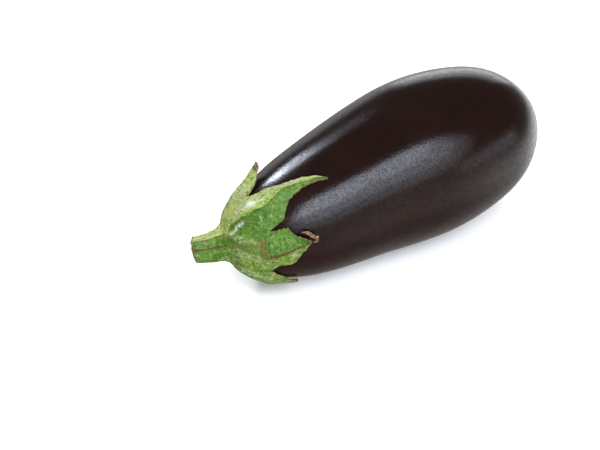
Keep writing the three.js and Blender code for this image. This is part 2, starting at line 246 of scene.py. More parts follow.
class Spline:
    """A clamped cubic B-spline, read by its parameter or by the share of its length."""

    def __init__(self, controls, breaks, samples=6000):
        controls = np.array(controls, float)
        knots = np.array([breaks[0]] * 3 + list(breaks) + [breaks[-1]] * 3, float)
        self.parameter = np.linspace(0, 1, samples)
        at = lerp(knots[0], knots[-1], self.parameter)
        self.points = self.weights(at, knots, 3, len(controls)) @ controls
        spans = (knots[4:-1] - knots[1:-4])[:, None]
        slopes = 3 * (controls[1:] - controls[:-1]) / spans
        self.slopes = self.weights(at, knots[1:-1], 2, len(slopes)) @ slopes
        steps = np.linalg.norm(np.diff(self.points, axis=0), axis=1)
        self.travelled = np.concatenate([[0], np.cumsum(steps)])
        self.length = self.travelled[-1]

    @staticmethod
    def weights(at, knots, degree, count):
        """The basis functions of each parameter, one row each."""
        last = np.searchsorted(knots, knots[-1]) - 1
        span = np.minimum(np.searchsorted(knots, at, side="right") - 1, last)
        made = (np.arange(len(knots) - 1)[None] == span[:, None]).astype(float)
        for order in range(1, degree + 1):
            width = len(knots) - 1 - order
            ends = knots[order + 1 : order + 1 + width]
            rise = knots[order : order + width] - knots[:width]
            fall = ends - knots[1 : 1 + width]
            left = np.where(rise > 0, (at[:, None] - knots[:width]) / np.where(rise > 0, rise, 1), 0)
            right = np.where(fall > 0, (ends - at[:, None]) / np.where(fall > 0, fall, 1), 0)
            made = left * made[:, :width] + right * made[:, 1 : 1 + width]
        return made[:, :count]

    def read(self, table, parameter):
        columns = [np.interp(parameter, self.parameter, table[:, k]) for k in range(table.shape[1])]
        return np.stack(columns, axis=-1)

    def at(self, parameter):
        return self.read(self.points, parameter)

    def slope(self, parameter):
        return unit(self.read(self.slopes, parameter))

    def along(self, share):
        """The parameter that lies a share of the length along."""
        return np.interp(np.asarray(share, float) * self.length, self.travelled, self.parameter)


def even_breaks(controls):
    """One break for each stretch of the curve."""
    return list(range(len(controls) - 2))


def make_axis():
    """The curve that the fruit and its stalk are bent along."""
    knots = [AXIS_KNOTS[0]] * 3 + AXIS_KNOTS + [AXIS_KNOTS[-1]] * 3
    controls = []
    for i, side in enumerate(AXIS_SIDE):
        station = sum(knots[i + 1 : i + 4]) / 3
        rise = AXIS_RISE if station > 0 else STALK_RISE
        controls.append([station, side, station * rise])
    return Spline(controls, AXIS_KNOTS)


OUTLINE = Spline(list(zip(OUTLINE_STATIONS, OUTLINE_RADII)), even_breaks(OUTLINE_RADII))
AXIS = make_axis()


def axis_frame(station):
    """Centre, side and top of the bent axis at each station."""
    length = AXIS_END - AXIS_START
    share = (station - AXIS_START) / length
    held = np.clip(share, 0, 1)
    along = AXIS.slope(held)
    side = unit(np.cross(UP, along))
    centre = AXIS.at(held) + along * ((share - held) * length)[..., None]
    return centre, side, np.cross(along, side)


def place(station, radius, angle):
    """Points at stations, radii and angles about the bent axis."""
    station, radius, angle = np.broadcast_arrays(station, radius, angle)
    centre, side, top = axis_frame(station)
    return (
        centre
        + side * (radius * np.cos(angle))[..., None]
        + top * (radius * np.sin(angle))[..., None]
    )


def over_skin(arc, height):
    """Station and radius of points over the skin, from distance along it and height over it."""
    parameter = OUTLINE.along(np.asarray(arc, float) / OUTLINE.length)
    point = OUTLINE.at(parameter)
    tangent = OUTLINE.slope(parameter)
    return point[..., 0] - tangent[..., 1] * height, point[..., 1] + tangent[..., 0] * height


def belly_floor():
    """The level of the surface under the fruit, before the whole is moved to its origin."""
    station, radius = over_skin(np.arange(0, OUTLINE.length, 1.0), 0.0)
    return place(station, radius, -math.pi / 2)[:, 2].min() + BELLY_PRESS


FLOOR_LEVEL = belly_floor()


def frame_shift():
    """How far the shapes are moved, so that the fruit fills the box of its frame solid."""
    station, radius = over_skin(np.linspace(0, OUTLINE.length, 400)[:, None], 0.0)
    angle = np.linspace(0, 2 * math.pi, 360)[None]
    points = place(station, radius, angle).reshape(-1, 3)
    low, high = (np.array(corner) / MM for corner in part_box("fruit"))
    middle = (low + high) / 2 - (points.min(0) + points.max(0)) / 2
    return np.array([middle[0], middle[1], -FLOOR_LEVEL])


SHIFT = frame_shift()


def waves(points, pattern):
    """A smooth random pattern in space, mostly between -1 and 1: the sum of waves of about one size."""
    count, size, seed = PATTERNS[pattern]
    random = np.random.default_rng(seed)
    direction = unit(random.normal(size=(count, 3)))
    pitch = size * random.uniform(0.6, 1.7, count)
    phase = random.uniform(0, 2 * math.pi, count)
    total = np.zeros(points.shape[:-1])
    for k in range(count):
        total += np.sin(points @ (2 * math.pi * direction[k] / pitch[k]) + phase[k])
    return total * math.sqrt(1 / count)


# ---------------------------------------------------------------- node trees


class Socket:
    """An output of a node. Python's operators on it add Math nodes."""

    def __init__(self, tree, socket):
        self.tree = tree
        self.socket = socket

    def maths(self, operation, first, second):
        return self.tree.node("ShaderNodeMath", {"operation": operation}, {0: first, 1: second})

    def __add__(self, other):
        return self.maths("ADD", self, other)

    def __radd__(self, other):
        return self.maths("ADD", other, self)

    def __sub__(self, other):
        return self.maths("SUBTRACT", self, other)

    def __rsub__(self, other):
        return self.maths("SUBTRACT", other, self)

    def __mul__(self, other):
        return self.maths("MULTIPLY", self, other)

    def __rmul__(self, other):
        return self.maths("MULTIPLY", other, self)

    def __truediv__(self, other):
        return self.maths("DIVIDE", self, other)

    def __rtruediv__(self, other):
        return self.maths("DIVIDE", other, self)

    def __abs__(self):
        return self.maths("ABSOLUTE", self, 0.0)

    def floor(self):
        return self.maths("FLOOR", self, 0.0)

    def most(self, other):
        return self.maths("MAXIMUM", self, other)

    def least(self, other):
        return self.maths("MINIMUM", self, other)

    def cos(self):
        return self.maths("COSINE", self, 0.0)

    def sin(self):
        return self.maths("SINE", self, 0.0)

    def fade(self, start, end):
        """Goes smoothly from 0 at start to 1 at end, and is level outside them."""
        settings = {"interpolation_type": "SMOOTHSTEP"}
        return self.tree.node("ShaderNodeMapRange", settings, {0: self, 1: start, 2: end})


class Tree:
    """Adds nodes to one node tree."""

    def __init__(self, tree):
        self.tree = tree
        self.tree.nodes.clear()

    def node(self, kind, settings=None, inputs=None, output=0):
        """A node of a kind. Its settings are set first, then the values or links of its inputs."""
        made = self.tree.nodes.new(kind)
        for name, value in (settings or {}).items():
            setattr(made, name, value)
        for key, value in (inputs or {}).items():
            if isinstance(value, Socket):
                self.tree.links.new(value.socket, made.inputs[key])
            else:
                made.inputs[key].default_value = value
        return Socket(self, made.outputs[output]) if made.outputs else made

    def mix(self, share, first, second):
        """A colour between two colours."""
        settings = {"data_type": "RGBA", "clamp_factor": True}
        colours = [c if isinstance(c, Socket) else (*c[:3], 1) for c in (first, second)]
        return self.node("ShaderNodeMix", settings, {0: share, 6: colours[0], 7: colours[1]}, 2)

    def sum_of(self, first, second):
        """The sum of two vectors."""
        return self.node("ShaderNodeVectorMath", {"operation": "ADD"}, {0: first, 1: second})

    def scaled(self, vector, factor):
        """A vector times a number."""
        return self.node("ShaderNodeVectorMath", {"operation": "SCALE"}, {0: vector, 3: factor})

    def axes(self, vector):
        """The three coordinates of a vector."""
        return [self.node("ShaderNodeSeparateXYZ", inputs={0: vector}, output=k) for k in range(3)]

    def noise(self, where, scale, detail=2.0, rough=0.5, distortion=0.0):
        """A noise value between 0 and 1."""
        inputs = {"Vector": where, "Scale": scale, "Detail": detail, "Roughness": rough}
        inputs["Distortion"] = distortion
        return self.node("ShaderNodeTexNoise", {"noise_dimensions": "3D"}, inputs)

    def attribute(self, name, output="Fac"):
        """A mark of the mesh."""
        return self.node("ShaderNodeAttribute", {"attribute_name": name}, output=output)


def new_material(name):
    """A material with nodes, and its tree."""
    material = bpy.data.materials.new(name)
    material.use_nodes = True
    return material, Tree(material.node_tree)


def finish_material(tree, colour, roughness, height, strength, distance, **others):
    """One shader from a colour, a roughness, a height with its bump, and other inputs by name."""
    bump = {"Height": height, "Strength": strength, "Distance": distance}
    normal = tree.node("ShaderNodeBump", inputs=bump)
    inputs = {"Base Color": colour, "Roughness": roughness, "Normal": normal}
    inputs.update({name.replace("_", " "): value for name, value in others.items()})
    shader = tree.node("ShaderNodeBsdfPrincipled", inputs=inputs)
    tree.node("ShaderNodeOutputMaterial", inputs={"Surface": shader})


def skin_material(sizes):
    """Near-black skin under a thin coat of wax that fine pores break up."""
    material, tree = new_material("aubergine_skin")
    where = tree.node("ShaderNodeTexCoord", output="Object")
    clouds = tree.noise(where, 34.0, 3.0)
    blush = tree.attribute("blush")
    scar = tree.attribute("scar")
    colour = tree.mix(clouds.fade(0.3, 0.72), sizes.dark, sizes.light)
    colour = tree.mix(blush * clouds.fade(0.25, 0.8) * 0.7, colour, sizes.blush)
    cork = tree.mix(tree.noise(where, 1500.0, 3.0), sizes.cork, sizes.cork_light)
    colour = tree.mix(scar, colour, cork)
    pores = tree.noise(where, 1.0 / sizes.pore_spacing, 1.0, 0.6)
    dimples = tree.noise(where, 0.3 / sizes.pore_spacing, 1.0, 0.5)
    wax = (pores + (dimples - 0.5) * 0.25).fade(0.26, 0.74)
    height = pores + dimples * 0.35 + scar * tree.noise(where, 1900.0, 3.0) * 6.0
    roughness = sizes.gloss + clouds * 0.05 + scar * 0.45
    finish_material(
        tree,
        colour,
        roughness,
        height,
        strength=sizes.pore_strength,
        distance=0.0001,
        Coat_Weight=wax * (1 - scar) * 0.7,
        Coat_IOR=1.3,
        Coat_Roughness=sizes.gloss + 0.03,
        Specular_IOR_Level=0.34,
        IOR=1.3,
    )
    return material


def calyx_material(sizes):
    """Fleshy green, paler in places: mostly painted light on the sides facing the lights, with some of
    its own yellowish patches. It has veins, painted glints, painted shade in its crinkles, corky brown
    webs and dried tips.
    """
    material, tree = new_material("calyx_green")
    where = tree.node("ShaderNodeTexCoord", output="Object")
    fibre = tree.attribute("fibre", "Vector")
    clouds = tree.noise(where, 95.0, 3.0)
    mottle = tree.noise(where, 430.0, 2.0, 0.65)
    crinkle = tree.noise(where, 620.0, 1.0, 0.6, 0.8)
    streaks = tree.noise(fibre, 1.0, 2.0, 0.6, 0.6)
    strings = 1 - abs(tree.noise(where, 420.0, 1.0, 0.6, 1.2) - 0.5) * 8
    uneven = mottle - 0.5

    # Uneven green, darker along its fibres, with painted shade in the crinkle hollows, and paler on the
    # sides that face the lights: mostly painted light, with some of the calyx's own yellowish patches.
    green = tree.mix(clouds.fade(0.3, 0.7), sizes.green, sizes.green_light)
    green = tree.mix(mottle.fade(0.45, 0.7) * 0.7, green, sizes.green_light)
    green = tree.mix(streaks.fade(0.47, 0.62) * 0.75, green, sizes.deep)
    # Painted shade: darker green in the crinkle hollows.
    green = tree.mix(crinkle.fade(0.5, 0.3) * 0.55, green, sizes.deep)
    pale_and_lit = (tree.attribute("pale") + uneven * 1.1 + (streaks - 0.5) * 0.6).fade(0.25, 0.95)
    dull = clouds.fade(0.35, 0.65) * (1 - tree.attribute("pale").fade(0.88, 1.05))
    pale = tree.mix(dull, sizes.yellow, sizes.straw_green)
    pale = tree.mix(mottle.fade(0.42, 0.3) * 0.8, pale, sizes.green_light)
    # Painted shade: the pale parts turn green in the crinkle hollows.
    pale = tree.mix(crinkle.fade(0.48, 0.34) * 0.85, pale, sizes.green)
    green = tree.mix(pale_and_lit, green, pale)

    # Veins, the inner face, painted glints where the glossy calyx catches the lights, thin edges,
    # freckles, webs and brown ridges.
    vein = (tree.attribute("vein") + uneven * 0.8).fade(0.2, 0.9)
    green = tree.mix(vein * 0.7, green, sizes.vein)
    green = tree.mix(tree.attribute("inner") * 0.75, green, sizes.inner)
    # Painted glints: whitish colour along the strokes and on the crinkle tops, where the glossy calyx
    # catches the lights.
    painted_glint = (tree.attribute("painted_glint") + uneven * 0.9 + (crinkle - 0.5) * 0.9).fade(0.05, 1.5)
    green = tree.mix(painted_glint * 0.9, green, sizes.painted_glint)
    edge_brown = tree.mix((clouds * 0.5 + mottle * 0.5).fade(0.4, 0.56), sizes.cream, sizes.brown)
    rim = (tree.attribute("rim") + uneven * 2.6).fade(0.35, 0.95)
    green = tree.mix(rim * 0.85, green, edge_brown)
    freckle = tree.noise(where, 640.0, 1.0, 0.6).fade(0.54, 0.66) * tree.attribute("freckle")
    green = tree.mix(freckle * 0.8, green, sizes.rust)
    web = (tree.attribute("web") + uneven * 2.0).fade(0.25, 0.8) * strings.fade(-0.3, 0.6)
    green = tree.mix(web * 0.9, green, sizes.rust)
    line = (tree.attribute("line") + uneven * 1.1).fade(0.25, 0.65)
    colour = tree.mix(line * 0.92, green, tree.mix(mottle.fade(0.55, 0.75), sizes.brown, sizes.rust))

    # Dried parts, and the flesh of the cut.
    dried = tree.mix((mottle * 0.5 + crinkle * 0.5).fade(0.42, 0.66), sizes.brown, sizes.straw)
    dry = (tree.attribute("dry") + uneven * 0.9).fade(0.3, 0.7)
    colour = tree.mix(dry, colour, dried)
    cut = tree.attribute("cut")
    flesh = tree.mix(streaks, sizes.straw, sizes.cream)
    colour = tree.mix(cut, colour, flesh)
    height = crinkle * 1.3 + streaks * 0.9 + mottle * 1.6 + web * 0.4
    roughness = sizes.roughness + mottle * 0.12 + dry * 0.25 + cut * 0.25 - painted_glint * 0.1
    finish_material(tree, colour, roughness, height, strength=0.8, distance=0.0008, IOR=1.38)
    return material


def dried_material(name, dark, light, scale):
    """Brown dried plant matter."""
    material, tree = new_material(name)
    where = tree.node("ShaderNodeTexCoord", output="Object")
    crumple = tree.noise(where, scale, 3.0, 0.6)
    fine = tree.noise(where, scale * 4, 2.0)
    colour = tree.mix(crumple.fade(0.32, 0.68), dark, light)
    roughness = 0.6 + fine * 0.25
    height = crumple + fine * 0.4
    finish_material(tree, colour, roughness, height, strength=0.5, distance=0.0003, IOR=1.45)
    return material


def floor_material(sizes):
    """Plain matt board that is slightly uneven."""
    material, tree = new_material("pale_board")
    where = tree.node("ShaderNodeTexCoord", output="Object")
    cloud = tree.noise(where, 3.0, 2.0)
    grey = [c * 0.985 for c in sizes.floor[:3]]
    colour = tree.mix(cloud, grey, sizes.floor)
    height = tree.noise(where, 900.0)
    finish_material(tree, colour, 0.7 + cloud * 0.05, height, strength=0.02, distance=0.0001)
    return material


# ---------------------------------------------------------------- meshes


def new_mesh(name, points, faces, marks=None):
    """A smooth mesh from points in millimetres, moved to the frame's origin, with float marks."""
    mesh = bpy.data.meshes.new(name)
    placed = (np.asarray(points, float) + SHIFT) * MM
    mesh.from_pydata(placed.tolist(), [], faces)
    for mark, values in (marks or {}).items():
        values = np.asarray(values, np.float32)
        kind = "FLOAT" if values.ndim == 1 else "FLOAT_VECTOR"
        key = "value" if values.ndim == 1 else "vector"
        mesh.attributes.new(mark, kind, "POINT").data.foreach_set(key, values.ravel())
    mesh.polygons.foreach_set("use_smooth", [True] * len(mesh.polygons))
    mesh.update()
    mesh.validate()
    return mesh


def new_object(name, mesh):
    made = bpy.data.objects.new(name, mesh)
    bpy.context.scene.collection.objects.link(made)
    return made


def apply_tree(holder, tree, values, name):
    """Runs a geometry tree on an object and keeps its result as a plain mesh under a name."""
    modifier = holder.modifiers.new(tree.name, "NODES")
    modifier.node_group = tree
    for item in tree.interface.items_tree:
        if item.item_type == "SOCKET" and item.in_out == "INPUT" and item.name in values:
            modifier[item.identifier] = values[item.name]
    bpy.context.view_layer.update()
    graph = bpy.context.evaluated_depsgraph_get()
    made = bpy.data.meshes.new_from_object(holder.evaluated_get(graph))
    holder.modifiers.remove(modifier)
    holder.data = made
    holder.name = name
    made.name = name
    return holder


def new_geometry_tree(name, inputs):
    """A geometry tree with named inputs. Each is a name, a socket kind and a default."""
    group = bpy.data.node_groups.new(name, "GeometryNodeTree")
    face = group.interface
    face.new_socket("Geometry", in_out="INPUT", socket_type="NodeSocketGeometry")
    for label, kind, default in inputs:
        socket = face.new_socket(label, in_out="INPUT", socket_type=kind)
        if default is not None:
            socket.default_value = default
    face.new_socket("Geometry", in_out="OUTPUT", socket_type="NodeSocketGeometry")
    tree = Tree(group)
    entry = group.nodes.new("NodeGroupInput")
    given = {s.name: Socket(tree, s) for s in entry.outputs if s.name}
    return group, tree, given


def end_geometry_tree(tree, geometry, material):
    """Ends a tree in a realised mesh with its material."""
    real = tree.node("GeometryNodeRealizeInstances", inputs={0: geometry})
    done = tree.node("GeometryNodeSetMaterial", inputs={"Geometry": real, "Material": material})
    tree.node("NodeGroupOutput", inputs={0: done})


def fruit_tree():
    """Turns a row of ring centres, each with its side, top and radius, into the closed skin."""
    inputs = [
        ("Sides", "NodeSocketInt", 340),
        ("Furrows", "NodeSocketInt", 5),
        ("Furrow Share", "NodeSocketFloat", 0.004),
        ("Swell Share", "NodeSocketFloat", 0.014),
        ("Swell Size", "NodeSocketFloat", 0.06),
        ("Floor Level", "NodeSocketFloat", 0.0),
        ("Skin", "NodeSocketMaterial", None),
    ]
    group, tree, given = new_geometry_tree("fruit_skin", inputs)
    rings = given["Geometry"]
    count = tree.node("GeometryNodeAttributeDomainSize", {"component": "MESH"}, {0: rings})
    columns = given["Sides"] + 1.0
    grid_inputs = {"Vertices X": count, "Vertices Y": columns, "Size X": 1.0, "Size Y": 1.0}
    grid = tree.node("GeometryNodeMeshGrid", inputs=grid_inputs)
    index = tree.node("GeometryNodeInputIndex")
    ring = ((index + 0.5) / columns).floor()
    angle = (index - ring * columns) / given["Sides"] * (2 * math.pi)

    def ring_value(name, kind):
        read = tree.node("GeometryNodeInputNamedAttribute", {"data_type": kind}, {"Name": name})
        settings = {"data_type": kind, "domain": "POINT"}
        sources = {"Geometry": rings, "Value": read, "Index": ring}
        return tree.node("GeometryNodeSampleIndex", settings, sources)

    centre = ring_value("centre", "FLOAT_VECTOR")
    side = tree.scaled(ring_value("side", "FLOAT_VECTOR"), angle.cos())
    top = tree.scaled(ring_value("top", "FLOAT_VECTOR"), angle.sin())
    spoke = tree.sum_of(side, top)
    radius = ring_value("radius", "FLOAT")
    plain = tree.sum_of(centre, tree.scaled(spoke, radius))
    middle = ring_value("middle", "FLOAT")
    furrow = (angle * given["Furrows"] + 1.0).cos() * given["Furrow Share"] * middle
    swell = (tree.noise(plain, 1.0 / given["Swell Size"], 1.5) - 0.5) * given["Swell Share"]
    grown = radius * (furrow + swell * middle + 1.0)
    x, y, z = tree.axes(tree.sum_of(centre, tree.scaled(spoke, grown)))
    height = z.most(given["Floor Level"])
    point = tree.node("ShaderNodeCombineXYZ", inputs={0: x, 1: y, 2: height})
    shape = tree.node("GeometryNodeSetPosition", inputs={"Geometry": grid, "Position": point})
    for name in ("blush", "scar"):
        inputs = {"Geometry": shape, "Name": name, "Value": ring_value(name, "FLOAT")}
        settings = {"data_type": "FLOAT", "domain": "POINT"}
        shape = tree.node("GeometryNodeStoreNamedAttribute", settings, inputs)
    shape = tree.node("GeometryNodeMergeByDistance", inputs={"Geometry": shape, "Distance": 1e-6})
    shape = tree.node("GeometryNodeSetShadeSmooth", inputs={"Geometry": shape})
    end_geometry_tree(tree, shape, given["Skin"])
    return group


def fruit_rings():
    """The rings of the fruit, closest together at its ends, as a mesh of loose points with marks."""
    share = crowded(np.linspace(0, 1, FRUIT_RINGS + 1), RING_CROWDING)
    station, radius = over_skin(share * OUTLINE.length, 0.0)
    radius[0] = radius[-1] = 0.0
    far = station > FRUIT_LENGTH / 2
    dimple = SCAR_DEPTH * np.exp(-2 * (radius / SCAR_RADIUS) ** 2)
    rim = SCAR_RIM_HEIGHT * bell(radius - SCAR_RIM_RADIUS, SCAR_RIM_WIDTH)
    station = np.where(far, station - dimple + rim, station)
    centre, side, top = axis_frame(station)
    marks = {
        "centre": (centre + SHIFT) * MM,
        "side": side,
        "top": top,
        "radius": radius * MM,
        "middle": np.sin(math.pi * np.clip(station, 0, FRUIT_LENGTH) / FRUIT_LENGTH),
        "blush": 1 - smooth(station, *BLUSH_STATIONS),
        "scar": np.where(far, 1 - smooth(radius, *SCAR_EDGE), 0),
    }
    return new_mesh("fruit_rings", centre, [], marks)


class Shell:
    """Collects rows of points, quads between them, and the marks of each point."""

    def __init__(self):
        self.points = []
        self.faces = []
        self.marks = {}
        self.count = 0

    def add(self, points, **marks):
        """Adds a row of points. A mark that isn't given is 0 on them."""
        points = np.asarray(points, float).reshape(-1, 3)
        for name in set(marks) | set(self.marks):
            value = np.broadcast_to(np.asarray(marks.get(name, 0.0), float), (len(points),))
            self.marks.setdefault(name, [np.zeros(self.count)]).append(value)
        first = self.count
        self.points.append(points)
        self.count += len(points)
        return np.arange(first, self.count)

    def strip(self, low, high, closed=False):
        """Quads between two rows of equal length, seen from outside with low below high."""
        if closed:
            low = np.append(low, low[0])
            high = np.append(high, high[0])
        quads = np.stack([low[:-1], low[1:], high[1:], high[:-1]], axis=1)
        self.faces.extend(quads.tolist())

    def fan(self, centre, row):
        """Triangles from one centre to each edge of a row."""
        self.faces.extend([int(centre), int(a), int(b)] for a, b in zip(row, row[1:]))

    def finished(self):
        marks = {name: np.concatenate(values) for name, values in self.marks.items()}
        return np.concatenate(self.points), self.faces, marks


# ---------------------------------------------------------------- the calyx


def notch_after(index):
    """Angle, arc and turn of the notch after a lobe, with the angle counted on past a full turn."""
    angle, arc, turn = NOTCHES[(index + 1) % len(NOTCHES)]
    return (angle if angle > NOTCHES[index][0] else angle + 360), arc, turn


def make_columns():
    """across, angle, arc, turn, fold and lobe of every column around the cup."""
    rows = []
    for i, (angle, arc, _) in enumerate(NOTCHES):
        next_angle, next_arc, _ = notch_after(i)
        for c in range(LOBE_COLUMNS):
            across = crowded(2 * c / LOBE_COLUMNS - 1, COLUMN_CROWDING)
            share = (across + 1) / 2
            angle_there = math.radians(lerp(angle, next_angle, share))
            arc_there = lerp(arc, next_arc, share)
            rows.append((across, angle_there, arc_there, turn_at(i, across), LOBES[i]["fold"], i))
    return [np.array(column) for column in zip(*rows)]  # the lobes stay whole numbers


def turn_at(index, across):
    """The turn of the cup at places across a lobe, in degrees."""
    side = np.where(across < 0, NOTCHES[index][2], notch_after(index)[2])
    return lerp(LOBES[index]["turn"], side, np.abs(across))


def twist_at(arc, turn):
    """How far the cup is twisted at a distance from the crown, in radians."""
    return np.radians(turn) * (1 - smooth(arc, *TWIST_ARCS))


def roof(across):
    """Height of the midrib relief across a lobe, 1 at the midrib."""
    return (1 - np.abs(across)) ** FOLD_SHARPNESS


def shoulder_share(arc):
    """0 where the cup starts, 1 below its shoulder."""
    return smooth(arc, CUP_START, CUP_START + SHOULDER_LENGTH)


def fold_at(arc, fold):
    """Height of the midrib relief, lower on the shoulder."""
    return fold * lerp(SHOULDER_FOLD, 1, shoulder_share(arc))


def wall_at(arc, tip_share, across, fold):
    """Wall of the cup and the lobes, thick at the crown and thin and rounded at the edges."""
    cup = lerp(CROWN_WALL, CUP_WALL, shoulder_share(arc))
    lobe = lerp(cup, TIP_WALL, tip_share)
    rounded = lerp(RIM_SHARE, LOBE_SHARE, np.sqrt(np.clip(1 - np.abs(across) ** RIM_ROUNDING, 0, 1)))
    edge = lerp(1, rounded, smooth(tip_share, 0, 0.12) * smooth(np.abs(across), 0.2, 0.9))
    return lobe * edge + fold_at(arc, fold) * roof(across) * (1 - TIP_FOLD_LOSS * tip_share**1.5)


def lobe_line(lobe, base_arc, tip_share):
    """Distance along the skin, height over it and lean away from it, of a lobe's middle line."""
    rolled = np.maximum(0, tip_share - CURL_START) / (1 - CURL_START)
    lean = np.radians(lobe["curl"]) * rolled
    straight = np.minimum(tip_share, CURL_START)
    roll_length = (lobe["reach"] - base_arc) * (1 - CURL_START) * rolled
    chord = np.sinc(lean / 2 / math.pi)
    arc = lerp(base_arc, lobe["reach"], straight) + roll_length * chord * np.cos(lean / 2)
    height = lobe["lift"] * tip_share**2 + roll_length * chord * np.sin(lean / 2)
    return arc, height, lean


def bend(share, start, points, end):
    """A value that starts and ends as given and passes through the values between."""
    shares, values = zip((0, start), *points, (1, end))
    return np.interp(share, shares, values)


def lobe_angles(index, tip_share):
    """The angles in degrees of a lobe's first edge, middle line and second edge."""
    lobe = LOBES[index]
    start, end = NOTCHES[index][0], notch_after(index)[0]
    half_tip = np.degrees(TIP_WIDTH / 2 / over_skin(lobe["reach"], 0)[1])
    first = bend(tip_share, start, lobe["first"], lobe["tip"] - half_tip)
    middle = bend(tip_share, (start + end) / 2, lobe["middle"], lobe["tip"])
    second = bend(tip_share, end, lobe["second"], lobe["tip"] + half_tip)
    return first, middle, second


def lobe_surface(index, across, tip_share, upper, relief=0.0):
    """Points of a lobe on its upper or lower face, raised by a relief."""
    lobe = LOBES[index]
    base_arc = lerp(NOTCHES[index][1], notch_after(index)[1], (across + 1) / 2)
    arc, rise, lean = lobe_line(lobe, base_arc, tip_share)
    wall = wall_at(arc, tip_share, across, lobe["fold"]) if upper else 0.0
    flutter = 1 + np.sin(7 * tip_share + index + 2 * across)
    ripple = EDGE_RIPPLE * flutter * np.sin(math.pi * tip_share)
    crimp = lobe["crimp"] * smooth(tip_share, 0.3, 0.8) * (across < 0)
    wall = wall + relief
    height = SKIN_GAP + rise + (ripple + crimp) * across**2 + wall * np.cos(lean)
    first, middle, second = lobe_angles(index, tip_share)
    turned = lerp(middle, np.where(across < 0, first, second), np.abs(across))
    station, radius = over_skin(arc - wall * np.sin(lean), height)
    # Each edge of each lobe reads its own part of the random pattern.
    side = np.stack([tip_share * 40, np.sign(across) * 8, 9.0 * index + 0 * across], axis=1)
    ragged = EDGE_RAGGED * waves(side, "ragged edge") * np.abs(across) * np.sin(math.pi * tip_share)
    angle = np.radians(turned) + twist_at(arc, turn_at(index, across)) + ragged / radius
    return place(station, radius, angle)


def half_width(index, across, tip_share):
    """Half the width of a lobe in millimetres, for marks of a constant width."""
    reach = lerp(NOTCHES[index][1], LOBES[index]["reach"], tip_share)
    first, middle, second = lobe_angles(index, tip_share)
    half = np.abs(np.where(across < 0, first, second) - middle)
    return np.radians(half) * over_skin(reach, 0)[1]


def swells(points):
    """The low swells of the calyx, in millimetres."""
    return SWELL_HEIGHT * waves(points, "swells")


def lobe_marks(index, across, tip_share, points):
    """Relief and marks on the upper face of a lobe."""
    lobe = LOBES[index]
    half = half_width(index, across, tip_share)
    off_middle = np.abs(across) * half
    to_edge = (1 - np.abs(across)) * half
    down = tip_share * (lobe["reach"] - NOTCHES[index][1])
    branch = (down - VEIN_SLOPE * off_middle + 0.8 * waves(points, "vein wander")) / VEIN_SPACING
    branch = np.abs(branch - np.round(branch)) * VEIN_SPACING
    inside = smooth(to_edge, 0.6, 2.5) * smooth(off_middle, 0.6, 2.0)
    vein = VEIN_STRENGTH * bell(branch, VEIN_WIDTH) * inside * (1 - tip_share)
    ragged_share = tip_share + 0.05 * waves(points, "dry edge")
    dry = smooth(ragged_share, lobe["dry"] - 0.05, lobe["dry"] + 0.05)
    dry = np.maximum(dry, 0.55 * (1 - smooth(to_edge, 0.1, 0.7)) * smooth(tip_share, 0.45, 0.9))
    crumple = waves(points, "crumples") * CRUMPLE_HEIGHT * dry * smooth(to_edge, 0, 1)
    relief = VEIN_HEIGHT * vein + MIDRIB_HEIGHT * bell(off_middle, MIDRIB_WIDTH)
    relief = relief + swells(points) + crumple
    rim = 1 - smooth(to_edge + 0.15 * waves(points, "rim wander"), 0.1, 0.5)
    # Painted light: the half of a lobe that faces the lights is paler.
    pale = PALE_SIDES[index][0] * (across < 0) + PALE_SIDES[index][1] * (across >= 0)
    line = MIDRIB_LINES[index] * bell(off_middle, MIDRIB_LINE_WIDTH) * smooth(tip_share, -0.4, 0.1)
    return relief, dict(dry=dry, vein=vein, rim=rim, pale=pale, line=line)


# How pale each lobe is on its first and second half, which is mostly painted light on the half that
# faces the lights, how brown its midrib is on the lobe, and how brown the ridge is that it runs into
# along the stalk, with the half width of that brown line.
PALE_SIDES = [(0.85, 0.85), (0.85, 0.05), (0.2, 0.48), (0.5, 0.4), (0.2, 0.3), (0.4, 0.6)]
MIDRIB_LINES = [0.15, 0.45, 1.2, 0.3, 0.3, 0.3]
STALK_LINES = [0.25, 0.8, 1.25, 0.4, 0.5, 0.4]
STALK_LINE_WIDTHS = [0.45, 0.45, 0.75, 0.45, 0.45, 0.45]

